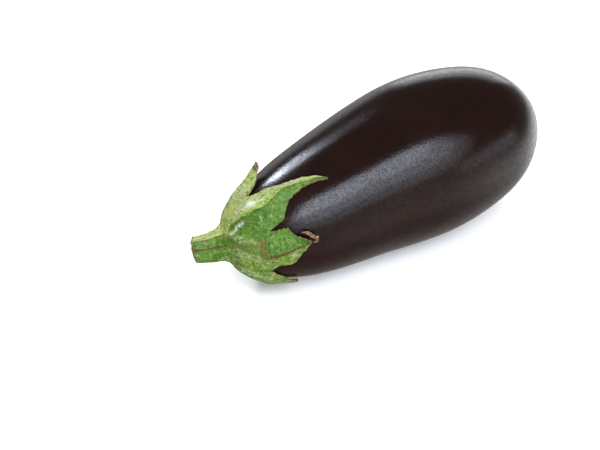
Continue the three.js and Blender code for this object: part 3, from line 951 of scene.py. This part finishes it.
# Strokes on the calyx by mark. Each has the half width of its stroke in millimetres, its strength, and
# the places that it runs through: pairs of distance from the crown along the skin and angle in degrees.
STROKES = {
    "web": [
        (1.5, 0.95, [(33, 171), (31.6, 171), (29.4, 166.2), (28.5, 160.6)]),
        (2.2, 0.85, [(28.5, 160.6), (28.2, 150.4)]),
        (2.0, 0.8, [(31.6, 171), (28.2, 169.9), (28.5, 160.6)]),
        (1.5, 0.65, [(28.2, 150.4), (25.6, 154), (22, 151), (16.6, 150.6)]),
        (1.0, 0.5, [(14.5, 152), (15.5, 160)]),
        (1.1, 0.85, [(32.1, 142.2), (32.6, 141)]),
        (1.0, 0.8, [(29.1, 203.3), (31, 204.5)]),
    ],
    "vein": [
        (0.6, 0.95, [(31.9, 121.2), (31.5, 129.2), (30.2, 141), (30.8, 150.9), (32.2, 158.8)]),
        (0.5, 0.6, [(27, 125), (29, 137), (28, 147)]),
        (1.5, 0.8, [(29.6, 189.3), (26, 179.8), (21.7, 172.7), (17.2, 169.1), (12.5, 170.8)]),
        (0.8, 0.5, [(24.5, 197), (20, 190), (15, 187)]),
    ],
    # Painted glints, and low down a painted sheen of the pale floor.
    "painted_glint": [
        (2.1, 1.5, [(28.8, 102.8), (30.8, 104.9)]),
        (1.3, 0.75, [(33.4, 106.3), (36.6, 106.9)]),
        (1.2, 0.6, [(30, 96.9), (36, 99)]),
        (1.0, 0.55, [(27.6, 70.1), (27.1, 84.6), (26.7, 94.3)]),
        (1.5, 0.85, [(22.6, 120), (20, 121), (17.7, 123.5), (14, 125.5)]),
        (1.2, 0.9, [(19.2, 137.2), (18, 142.6)]),
        (1.0, 0.6, [(14.6, 133.9), (15.5, 138)]),
        (0.7, 0.5, [(31.5, 129.2), (30.2, 141)]),
        (0.8, 0.5, [(30.8, 150.9), (32.2, 158.8)]),
        (3.4, 0.42, [(17, 203), (21, 206), (25.8, 212), (29, 213)]),
    ],
    # Paler patches: partly the calyx's own yellowish colour, partly painted light.
    "pale": [
        (5.0, 1.1, [(22, 80), (15, 95), (13, 108)]),
        (4.0, 0.65, [(13.8, 158.1), (17.8, 164.3), (21.6, 167.6)]),
        (3.0, 0.65, [(15.5, 180.7), (20.5, 178.3), (26.2, 176.8)]),
        (3.2, 0.6, [(14.5, 127), (17.4, 137), (21, 144), (25, 151)]),
        (2.0, 0.35, [(34, 131), (40, 120), (47, 116)]),
        (2.0, 0.35, [(36, 147), (40, 155), (45, 159)]),
    ],
    "freckle": [
        (7.0, 0.7, [(22.9, 77.3), (21.4, 98.6), (15.2, 110.2)]),
        (5.0, 0.7, [(12.5, 172), (20, 172)]),
        (5.0, 0.5, [(30, 60), (40, 64)]),
        (3.5, 0.7, [(24.6, 121.3), (22, 114)]),
    ],
}
STROKE_HEIGHT = 4.0  # over the skin
FIBRE_STRETCH = 0.18  # lower makes the streaks longer


def to_stroke(points, path):
    """How far points lie from a stroke's middle line, in millimetres."""
    arcs, angles = np.array(path, float).T
    station, radius = over_skin(arcs, STROKE_HEIGHT)
    line = place(station, radius, np.radians(angles))
    nearest = np.full(len(points), np.inf)
    for start, end in zip(line, line[1:]):
        span = end - start
        share = np.clip((points - start) @ span / (span @ span), 0, 1)
        nearest = np.minimum(nearest, np.linalg.norm(points - start - share[:, None] * span, axis=1))
    return nearest


def paint_strokes(points, marks):
    """Adds the strokes to the marks of points on the outer face of the calyx."""
    outside = 1 - marks["inner"]
    for name, strokes in STROKES.items():
        value = marks.get(name, np.zeros(len(points)))
        for width, strength, path in strokes:
            spread = strength * bell(to_stroke(points, path), width)
            value = np.maximum(value, spread * outside)
        marks[name] = value


def fibres(points):
    """Coordinates in which a pattern stretches along the stalk and the lobes without a seam."""
    return np.stack([points[:, 1], points[:, 2], points[:, 0] * FIBRE_STRETCH], axis=1)


def on_cylinder(along, angle, radius):
    """Points on a plain cylinder, on which a random pattern closes without a seam."""
    along = np.broadcast_to(along, angle.shape)
    return np.stack([along, radius * np.cos(angle), radius * np.sin(angle)], axis=1)


def rib_waves(angle, around):
    """The fine ribs that run down the stalk and the shoulder of the cup."""
    return RIB_HEIGHT * np.cos(RIB_COUNT * angle + waves(around, "rib wander"))


def stalk_outline():
    """The stalk's outline, from its cut to where it runs into the cup."""
    station, radius = over_skin(CUP_START, SKIN_GAP + CROWN_WALL)
    along = OUTLINE.slope(OUTLINE.along(CUP_START / OUTLINE.length))
    controls = list(zip(STALK_STATIONS, STALK_RADII))
    controls.append((station - SHOULDER_EASE * along[0], radius - SHOULDER_EASE * along[1]))
    controls.append((station, radius))
    return Spline(controls, even_breaks(controls))


def add_stalk(shell, columns, pale):
    """The rows of the stalk from the cut to the cup, with ridges, brown lines and one paler facet on
    top, which is painted light.
    """
    across, angle, _, turn, fold, lobe = columns
    # Painted light: the stalk's top facet is paler.
    pale_and_lit = ((lobe == 1) & (across < 0)) | ((lobe == 0) & (across > 0))
    stalk_line = np.array(STALK_LINES)[lobe]
    line_width = np.array(STALK_LINE_WIDTHS)[lobe]
    outline = stalk_outline()
    rows = []
    for i in range(STALK_ROWS):
        share = i / STALK_ROWS
        turned = angle + twist_at(CUP_START, turn) + np.radians(STALK_TURN * (1 - share))
        parameter = outline.along(share)
        point, along = outline.at(parameter), outline.slope(parameter)
        around = on_cylinder(share * 30, turned, 7)
        ribs = rib_waves(turned, around) + STALK_SWELL_HEIGHT * waves(around, "stalk swells")
        ridge = STALK_RIDGE * (roof(across) - 0.4)
        height = lerp(ridge, fold_at(CUP_START, fold) * roof(across), share) + ribs
        radius = point[1] + along[0] * height
        slant = CUT_SLANT * radius * np.sin(turned) * (1 - smooth(share, 0, 0.4))
        placed = place(point[0] - along[1] * height - slant, radius, turned)
        wander = np.abs(across) * radius * 0.5 + 0.12 * waves(placed, "line wander")
        line = bell(wander, line_width) * stalk_line * (1 - smooth(share, 0.72, 1.0))
        collar = 1 - smooth(share + 0.03 * waves(around, "collar edge"), 0.01, 0.06)
        paleness = np.maximum(pale_and_lit * 0.95, lerp(0.3, pale, smooth(share, 0.3, 1)))
        rows.append(shell.add(placed, line=line, dry=collar, pale=paleness))
    return rows


def add_cup(shell, columns, pale):
    """The outer rows of the cup, from the stalk to the notches between the lobes."""
    across, angle, arc, turn, fold, _ = columns
    rows = []
    for i in range(CUP_ROWS + 1):
        here = lerp(CUP_START, arc, i / CUP_ROWS)
        around = on_cylinder(here, angle, 20)
        relief = rib_waves(angle, around) * (1 - shoulder_share(here)) + swells(around)
        station, radius = over_skin(here, SKIN_GAP + wall_at(here, 0, across, fold) + relief)
        rows.append(shell.add(place(station, radius, angle + twist_at(here, turn)), pale=pale))
    return rows


def add_inside(shell, columns):
    """The inner rows of the cup, from the notches to the closed crown."""
    _, angle, arc, turn, _, _ = columns
    rows = []
    for i in range(INNER_ROWS):
        here = arc * (1 - i / INNER_ROWS)
        station, radius = over_skin(here, SKIN_GAP)
        rows.append(shell.add(place(station, radius, angle + twist_at(here, turn)), inner=1.0))
    for low, high in zip(rows, rows[1:]):
        shell.strip(low, high, closed=True)
    station, _ = over_skin(0, SKIN_GAP)
    crown = shell.add(place(station, 0.0, 0.0), inner=1.0)[0]
    shell.fan(crown, np.append(rows[-1], rows[-1][0]))
    return rows


def calyx_shell():
    """The whole calyx and stalk as one closed surface."""
    shell = Shell()
    columns = make_columns()
    across, lobe = columns[0], columns[-1]
    # Painted light: each lobe is paler on the half that faces the lights, with some of its own yellowish
    # colour.
    first, second = np.array(PALE_SIDES)[lobe].T
    pale = lerp(first, second, smooth(across, -0.15, 0.15))
    rows = add_stalk(shell, columns, pale) + add_cup(shell, columns, pale)
    for low, high in zip(rows, rows[1:]):
        shell.strip(low, high, closed=True)
    add_cut_face(shell, rows[0])
    inner = add_inside(shell, columns)
    outer_rim = np.append(rows[-1], rows[-1][0])
    inner_rim = np.append(inner[0], inner[0][0])
    for index in range(len(LOBES)):
        start = index * LOBE_COLUMNS
        edge = slice(start, start + LOBE_COLUMNS + 1)
        add_lobe(shell, index, outer_rim[edge], inner_rim[edge])
    return shell


def add_cut_face(shell, rim):
    """Closes the cut end: a ragged corky ring round paler pith that has sunk a little."""
    points = np.concatenate(shell.points)[rim]
    middle = place(np.array(-STALK_LENGTH), np.array(0.0), np.array(0.0))
    previous = rim
    for i in range(1, CUT_ROWS):
        share = i / CUT_ROWS
        row = lerp(points, middle, share)
        sink = PITH_DEPTH * smooth(share, 0.1, 0.6) - CUT_RIM_HEIGHT * bell(share - 0.12, 0.08)
        sink = sink + CUT_ROUGHNESS * waves(row, "cut grain")
        row = row + np.array([1.0, 0, 0]) * sink[:, None]
        woody = bell(share - 0.3, 0.08)
        dry = np.clip(1 - smooth(share, 0.05, 0.16) + 0.4 * woody, 0, 1)
        added = shell.add(row, cut=smooth(share, 0.02, 0.12), dry=dry * 0.8)
        shell.strip(added, previous, closed=True)
        previous = added
    centre = shell.add(middle + np.array([PITH_DEPTH, 0, 0]), cut=1.0)[0]
    shell.fan(centre, np.append(previous, previous[0])[::-1])


def add_lobe(shell, index, outer, inner):
    """One lobe on top of the cup's last outer and inner rows."""
    across = crowded(2 * np.arange(LOBE_COLUMNS + 1) / LOBE_COLUMNS - 1, COLUMN_CROWDING)
    for r in range(1, LOBE_ROWS + 1):
        tip_share = np.full(len(across), r / LOBE_ROWS)
        flat = lobe_surface(index, across, tip_share, False)
        relief, marks = lobe_marks(index, across, tip_share, flat)
        relief = relief * smooth(r / LOBE_ROWS, 0, 0.06)
        next_outer = shell.add(lobe_surface(index, across, tip_share, True, relief), **marks)
        next_inner = shell.add(flat, inner=1.0, rim=marks["rim"], dry=marks["dry"])
        shell.strip(outer, next_outer)
        shell.strip(inner[::-1], next_inner[::-1])
        ends = [(inner[0], outer[0], next_outer[0], next_inner[0])]
        ends.append((outer[-1], inner[-1], next_inner[-1], next_outer[-1]))
        shell.faces.extend([int(v) for v in end] for end in ends)
        outer, inner = next_outer, next_inner
    shell.strip(outer, inner)


# ---------------------------------------------------------------- small pieces


# The dried roll beside the tip of a lobe: distance from the crown along the skin, angle in degrees and
# height over the skin.
ROLL_PATH = [
    (46.2, 152, 3.4), (47.6, 151.8, 4.4), (49.2, 154, 4.6), (50.3, 157, 4.7),
    (51.6, 158, 4.8), (52.6, 161, 4.4), (51.6, 164, 3.4), (50.2, 164, 3),
]
ROLL_RADIUS = 0.95
ROLL_FLATNESS = 0.8
ROLL_FOLDS = 3
ROLL_FOLD_DEPTH = 0.3
ROLL_CRINKLE = 0.4
ROLL_ROWS = 160
ROLL_SIDES = 56


def dried_edge():
    """The crinkled brown roll that a lobe's dried edge has shrunk to, as a closed tube."""
    share = np.linspace(0, 1, ROLL_ROWS)
    path = Spline(ROLL_PATH, even_breaks(ROLL_PATH))
    arc, angle, height = path.at(share).T
    centre = place(*over_skin(arc, height), np.radians(angle))
    along = unit(np.gradient(centre, axis=0))
    first = unit(np.cross(along, UP))
    second = np.cross(along, first)
    shell = Shell()
    rows = []
    angle = np.linspace(0, 2 * math.pi, ROLL_SIDES, endpoint=False)
    for k, s in enumerate(share):
        thick = ROLL_RADIUS * math.sin(math.pi * min(max(s, 0.03), 0.97)) ** 0.35
        folds = 1 + ROLL_FOLD_DEPTH * np.cos(ROLL_FOLDS * angle + 7 * s)
        ring = first[k] * np.cos(angle)[:, None] + second[k] * np.sin(angle)[:, None] * ROLL_FLATNESS
        placed = centre[k] + ring * (thick * folds)[:, None]
        crinkle = 1 + ROLL_CRINKLE * waves(placed, "roll crinkles") * math.sin(math.pi * s) ** 0.3
        rows.append(shell.add(centre[k] + ring * (thick * folds * crinkle)[:, None]))
    for low, high in zip(rows, rows[1:]):
        shell.strip(low, high, closed=True)
    for row, turn in ((rows[0], 1), (rows[-1], -1)):
        points = np.concatenate(shell.points)[row]
        middle = shell.add(points.mean(0))[0]
        shell.fan(middle, np.append(row, row[0])[::-turn])
    return shell


def speck_tree():
    """Scatters small flat scabs over a surface, more of them where the surface is marked."""
    inputs = [
        ("Density", "NodeSocketFloat", 60000.0),
        ("Smallest", "NodeSocketFloat", 0.0001),
        ("Largest", "NodeSocketFloat", 0.0004),
        ("Flatness", "NodeSocketFloat", 0.4),
        ("Seed", "NodeSocketInt", 7),
        ("Cork", "NodeSocketMaterial", None),
    ]
    group, tree, given = new_geometry_tree("corky_specks", inputs)
    where = tree.node("GeometryNodeInputNamedAttribute", {"data_type": "FLOAT"}, {"Name": "speckled"})
    density = where * given["Density"]
    settings = {"distribute_method": "RANDOM"}
    sources = {"Mesh": given["Geometry"], "Density": density, "Seed": given["Seed"]}
    points = tree.node("GeometryNodeDistributePointsOnFaces", settings, sources)
    turned = Socket(tree, points.socket.node.outputs["Rotation"])
    ball = tree.node("GeometryNodeMeshIcoSphere", inputs={"Radius": 1.0, "Subdivisions": 2})

    def random_size(seed):
        sources = {2: given["Smallest"], 3: given["Largest"], "Seed": seed}
        return tree.node("FunctionNodeRandomValue", {"data_type": "FLOAT"}, sources, 1)

    wide, long = random_size(11), random_size(12)
    size = tree.node("ShaderNodeCombineXYZ", inputs={0: wide, 1: long, 2: wide * given["Flatness"]})
    sources = {"Points": points, "Instance": ball, "Rotation": turned, "Scale": size}
    specks = tree.node("GeometryNodeInstanceOnPoints", inputs=sources)
    end_geometry_tree(tree, specks, given["Cork"])
    return group


# ---------------------------------------------------------------- the add-on


def colour_property(name, description, default):
    return bpy.props.FloatVectorProperty(
        name=name, description=description, default=default, subtype="COLOR", size=3, min=0.0, max=1.0
    )


def number_property(name, description, default, **kind):
    return bpy.props.FloatProperty(name=name, description=description, default=default, **kind)


def count_property(name, description, default, **limits):
    return bpy.props.IntProperty(name=name, description=description, default=default, **limits)


class FruitSettings(bpy.types.PropertyGroup):
    """Sizes and colours of the fruit."""

    sides: count_property("Sides", "Faces around the fruit", 340, min=24, max=400)
    furrows: count_property("Furrows", "Shallow furrows down the fruit", 5, min=0, max=12)
    furrow_share: number_property("Furrow Depth", "Furrow depth as a share of the radius", 0.004)
    swell_share: number_property("Swell", "Uneven growth as a share of the radius", 0.014)
    swell_size: number_property("Swell Size", "Size of the uneven swells", 0.06, unit="LENGTH")
    pore_spacing: number_property("Pore Spacing", "Spacing of the pores", 0.0011, unit="LENGTH")
    pore_strength: number_property("Pore Strength", "Strength of the pores' relief", 0.9)
    gloss: number_property("Gloss Roughness", "Roughness of the waxed skin", 0.13)
    dark: colour_property("Dark Skin", "Darkest colour of the skin", (0.0067, 0.0025, 0.0017))
    light: colour_property("Light Skin", "Lightest colour of the skin", (0.0085, 0.0035, 0.0026))
    blush: colour_property("Blush", "Skin colour beside the calyx", (0.014, 0.005, 0.005))
    cork: colour_property("Scar", "Colour of the blossom scar", (0.16, 0.085, 0.035))
    cork_light: colour_property("Scar Light", "Light parts of the blossom scar", (0.42, 0.28, 0.14))


class CalyxSettings(bpy.types.PropertyGroup):
    """Colours and specks of the calyx and stalk."""

    green: colour_property("Green", "Main green", (0.037, 0.104, 0.003))
    green_light: colour_property("Light Green", "Lighter green patches", (0.083, 0.159, 0.013))
    # Deep green is the streaks' own colour, and also painted shade in the crinkle hollows.
    deep: colour_property("Deep Green", "Darkest green streaks", (0.015, 0.056, 0.002))
    # The yellow and straw greens are partly the calyx's own colour and partly painted light.
    yellow: colour_property("Yellow Green", "Pale patches, partly painted light", (0.27, 0.325, 0.05))
    straw_green: colour_property("Straw Green", "Dull pale patches, partly painted light", (0.29, 0.31, 0.14))
    vein: colour_property("Vein", "Colour of the raised veins", (0.187, 0.286, 0.099))
    inner: colour_property("Inner Face", "Colour of the inner faces", (0.2, 0.26, 0.09))
    # Painted glint colour, standing in for lights caught by the glossy calyx.
    painted_glint: colour_property("Painted Glint", "Painted whitish glints", (0.52, 0.56, 0.44))
    cream: colour_property("Cream", "Colour of the thin edges", (0.28, 0.26, 0.12))
    brown: colour_property("Brown", "Lines and dried parts", (0.06, 0.02, 0.006))
    rust: colour_property("Rust", "Corky freckles and webs", (0.125, 0.05, 0.015))
    straw: colour_property("Straw", "Light dried parts", (0.24, 0.15, 0.07))
    roughness: number_property("Roughness", "Roughness of the waxy surface", 0.28)
    speck_density: number_property("Specks", "Corky specks per square metre", 60000.0)
    speck_seed: count_property("Speck Seed", "Scatter of the specks", 7)


class StageSettings(bpy.types.PropertyGroup):
    """The floor, the lights, the room and the camera."""

    floor: colour_property("Floor", "Colour of the board", (0.98, 0.92, 0.85))
    front_light: number_property("Front Light", "Brightness of the lights in front", 10.0)
    back_light: number_property("Back Light", "Brightness of the lights behind", 28.0)
    wall_light: number_property("Wall Light", "Brightness of the lit walls low down", 1.6)
    fill_light: number_property("Fill", "Brightness of the overhead and front fill", 2.2)
    sky: number_property("Sky", "Brightness of the room overhead", 0.1)
    horizon: number_property("Horizon", "Brightness of the room's pale walls low down", 0.8)
    ground: number_property("Ground", "Brightness of the mirrored ground on the left", 0.31)
    ground_right: number_property("Ground Right", "Brightness of the mirrored ground on the right", 2.2)
    lens: number_property("Lens", "Focal length of the camera", 85.0, unit="CAMERA")
    distance: number_property("Distance", "Camera distance", 0.783, unit="LENGTH")
    azimuth: number_property("Azimuth", "Camera direction", math.radians(-32.7), subtype="ANGLE")
    elevation: number_property("Elevation", "Camera height", math.radians(37), subtype="ANGLE")


def mount(piece, slot, *nodes):
    """Makes a piece part of the eggplant."""
    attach(piece, "root")
    if nodes:
        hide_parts(*nodes)


class EGGPLANT_OT_fruit(bpy.types.Operator):
    """Builds the glossy fruit with its blossom scar"""

    bl_idname = "eggplant.fruit"
    bl_label = "Fruit"

    def execute(self, context):
        sizes = context.scene.eggplant_fruit
        holder = new_object("fruit_skin", fruit_rings())
        values = {
            "Sides": sizes.sides,
            "Furrows": sizes.furrows,
            "Furrow Share": sizes.furrow_share,
            "Swell Share": sizes.swell_share,
            "Swell Size": sizes.swell_size,
            "Floor Level": 0.0,
            "Skin": skin_material(sizes),
        }
        fruit = apply_tree(holder, fruit_tree(), values, "fruit_skin")
        mount(fruit, "skin", "fruit")
        return {"FINISHED"}


class EGGPLANT_OT_calyx(bpy.types.Operator):
    """Builds the calyx in one piece with its cut stalk"""

    bl_idname = "eggplant.calyx"
    bl_label = "Calyx and Stalk"

    def execute(self, context):
        points, faces, marks = calyx_shell().finished()
        marks["fibre"] = fibres(points)
        paint_strokes(points, marks)
        speckled = smooth(waves(points, "speck patches"), 0.1, 1.4) * (1 - marks["inner"])
        marks["speckled"] = np.clip(speckled + 0.6 * marks["line"], 0, 1)
        mesh = new_mesh("calyx_felt", points, faces, marks)
        mesh.materials.append(calyx_material(context.scene.eggplant_calyx))
        mount(new_object("calyx_felt", mesh), "calyx", "calyx")
        return {"FINISHED"}


class EGGPLANT_OT_dried_edge(bpy.types.Operator):
    """Builds the crinkled dried edge on one lobe"""

    bl_idname = "eggplant.dried_edge"
    bl_label = "Dried Edge"

    def execute(self, context):
        sizes = context.scene.eggplant_calyx
        points, faces, marks = dried_edge().finished()
        mesh = new_mesh("dried_edge", points, faces, marks)
        mesh.materials.append(dried_material("dried_edge", sizes.brown, sizes.straw, 700.0))
        mount(new_object("dried_edge", mesh), "calyx")
        return {"FINISHED"}


class EGGPLANT_OT_specks(bpy.types.Operator):
    """Scatters corky specks over the calyx and stalk"""

    bl_idname = "eggplant.specks"
    bl_label = "Corky Specks"

    def execute(self, context):
        sizes = context.scene.eggplant_calyx
        holder = new_object("corky_specks", bpy.data.objects["calyx_felt"].data.copy())
        values = {
            "Density": sizes.speck_density,
            "Seed": sizes.speck_seed,
            "Cork": dried_material("cork", sizes.brown, sizes.straw, 2500.0),
        }
        specks = apply_tree(holder, speck_tree(), values, "corky_specks")
        mount(specks, "calyx")
        return {"FINISHED"}


# Tints of the lights, and of the walls and the dark and bright ground that the skin mirrors.
COOL = (0.865, 0.965, 1.115)
WALL_TINT = (0.93, 1.0, 1.02)
SHADED_GROUND_TINT = (0.93, 0.84, 0.8)
LIT_GROUND_TINT = (0.93, 0.97, 0.96)

FLOOR_REACH = 4.0
FLOOR_TOP = -0.0001  # just under the fruit, so that no two faces meet
LIGHT_TARGET = np.array([0, 0, 0.045])
CAMERA_TARGET = np.array([-0.05033, -0.00654, 0.036])


def direction(azimuth, elevation):
    """The direction at an azimuth and an elevation in radians. Azimuth 0 is the front."""
    flat = math.cos(elevation)
    return np.array([math.sin(azimuth) * flat, -math.cos(azimuth) * flat, math.sin(elevation)])


def aim_at(holder, location, back):
    """Puts a camera or a light at a place, looking against a direction."""
    holder.location = Vector(location)
    holder.rotation_euler = (-Vector(back)).to_track_quat("-Z", "Y").to_euler()


def add_area(name, place_at, size, radiance, tint=(1, 1, 1), glossy=True, oval=False):
    """A flat light that faces the eggplant, at an azimuth and elevation in degrees and a distance.
    Radiance is the brightness of its face."""
    azimuth, elevation, distance = place_at
    lamp = bpy.data.lights.new(name, "AREA")
    lamp.color = tint
    lamp.shape = "ELLIPSE" if oval else "RECTANGLE"
    lamp.size, lamp.size_y = size
    lamp.energy = radiance * math.pi * size[0] * size[1] * (math.pi / 4 if oval else 1)
    holder = new_object(name, lamp)
    back = direction(math.radians(azimuth), math.radians(elevation))
    aim_at(holder, back * distance + LIGHT_TARGET, back)
    holder.visible_glossy = glossy


def add_lights(sizes):
    """Layered soft lights in front, two behind, lit walls, and fills that the skin doesn't mirror."""
    front, back, wall, fill = sizes.front_light, sizes.back_light, sizes.wall_light, sizes.fill_light
    add_area("front_softbox", (-11.5, 47, 1.1), (0.58, 0.44), front * 0.59, COOL)
    add_area("front_scrim", (-5, 40, 1.12), (1.03, 0.82), front * 0.32, COOL, oval=True)
    add_area("front_glow", (-1, 34, 1.14), (1.42, 1.06), front * 0.22, COOL, oval=True)
    add_area("front_low", (42, 5, 1.4), (0.9, 0.3), wall * 0.65, COOL)
    add_area("back_softbox", (184, 40, 1.0), (0.27, 0.3), back * 0.55, COOL)
    add_area("back_core", (191, 36.5, 0.98), (0.13, 0.2), back * 1.4, COOL)
    add_area("back_wall", (135, 11, 1.6), (1.05, 0.72), wall, WALL_TINT)
    add_area("overhead_fill", (0, 89, 1.6), (2.2, 2.2), fill, glossy=False)
    add_area("front_fill", (-35, 14, 1.5), (1.6, 0.7), fill, glossy=False)


def add_floor(sizes):
    """The plain board. The skin mirrors the room's pale ground in its place."""
    mesh = bpy.data.meshes.new("floor")
    corners = [(-1, -1), (1, -1), (1, 1), (-1, 1)]
    points = [(x * FLOOR_REACH, y * FLOOR_REACH, FLOOR_TOP) for x, y in corners]
    mesh.from_pydata(points, [], [(0, 1, 2, 3)])
    mesh.materials.append(floor_material(sizes))
    floor = new_object("floor", mesh)
    floor.visible_glossy = False


def add_room(sizes):
    """The room that the skin mirrors: dark overhead, pale walls low down, and a ground that is brighter
    towards the blossom end and darker right below."""
    world = bpy.data.worlds.new("studio")
    world.use_nodes = True
    tree = Tree(world.node_tree)
    right, behind, height = tree.axes(tree.node("ShaderNodeTexCoord", output="Generated"))
    share = ((right - behind.most(0) * 0.82 + 0.35) / 1.3).most(0).least(1)
    tint = tree.mix(share.fade(0.45, 0.85), SHADED_GROUND_TINT, LIT_GROUND_TINT)
    tint = tree.mix(height.fade(-0.34, 0.0), tint, WALL_TINT)
    ground = share * (sizes.ground_right - sizes.ground) + sizes.ground
    ground = ground * (1 - (0 - height).fade(0.4, 0.78) * 0.68)
    horizon = sizes.horizon * (1 - right.fade(0.78, 0.94) * 0.7)
    level = sizes.sky + (1 - height.fade(0.1, 0.36)) * (horizon - sizes.sky)
    level = level + (1 - height.fade(-0.34, 0.0)) * (ground - horizon)
    sky = tree.node("ShaderNodeBackground", inputs={0: tint, 1: level})
    tree.node("ShaderNodeOutputWorld", inputs={"Surface": sky})
    return world


def add_camera(sizes):
    """The camera, aimed at its target from its azimuth, elevation and distance."""
    lens = bpy.data.cameras.new("camera")
    lens.lens = sizes.lens
    lens.sensor_width = 36.0
    lens.sensor_fit = "HORIZONTAL"
    lens.clip_start = 0.01
    camera = new_object("camera", lens)
    back = direction(sizes.azimuth, sizes.elevation)
    aim_at(camera, CAMERA_TARGET + back * sizes.distance, back)
    return camera


class EGGPLANT_OT_stage(bpy.types.Operator):
    """Builds the pale floor, the lights, the room that the skin mirrors and the camera"""

    bl_idname = "eggplant.stage"
    bl_label = "Stage"

    def execute(self, context):
        sizes = context.scene.eggplant_stage
        add_floor(sizes)
        add_lights(sizes)
        context.scene.world = add_room(sizes)
        context.scene.camera = add_camera(sizes)
        context.scene.view_settings.view_transform = "Standard"
        return {"FINISHED"}


OPERATORS = [
    EGGPLANT_OT_fruit,
    EGGPLANT_OT_calyx,
    EGGPLANT_OT_dried_edge,
    EGGPLANT_OT_specks,
    EGGPLANT_OT_stage,
]


class EGGPLANT_PT_pieces(bpy.types.Panel):
    """Lists the eggplant's pieces and their settings"""

    bl_idname = "EGGPLANT_PT_pieces"
    bl_label = "Eggplant"
    bl_space_type = "VIEW_3D"
    bl_region_type = "UI"
    bl_category = "Eggplant"

    def draw(self, context):
        layout = self.layout
        for operator in OPERATORS:
            layout.operator(operator.bl_idname)
        for name in ("eggplant_fruit", "eggplant_calyx", "eggplant_stage"):
            box = layout.box()
            settings = getattr(context.scene, name)
            for label in settings.__annotations__:
                box.prop(settings, label)


SETTINGS = {
    "eggplant_fruit": FruitSettings,
    "eggplant_calyx": CalyxSettings,
    "eggplant_stage": StageSettings,
}


def register():
    for made in [*SETTINGS.values(), *OPERATORS, EGGPLANT_PT_pieces]:
        bpy.utils.register_class(made)
    for name, settings in SETTINGS.items():
        setattr(bpy.types.Scene, name, bpy.props.PointerProperty(type=settings))


def unregister():
    for name in SETTINGS:
        delattr(bpy.types.Scene, name)
    for made in [EGGPLANT_PT_pieces, *reversed(OPERATORS), *reversed(SETTINGS.values())]:
        bpy.utils.unregister_class(made)


def main():
    register()
    bpy.ops.eggplant.fruit()
    bpy.ops.eggplant.calyx()
    bpy.ops.eggplant.dried_edge()
    bpy.ops.eggplant.specks()
    bpy.ops.eggplant.stage()


if __name__ == "__main__":
    main()
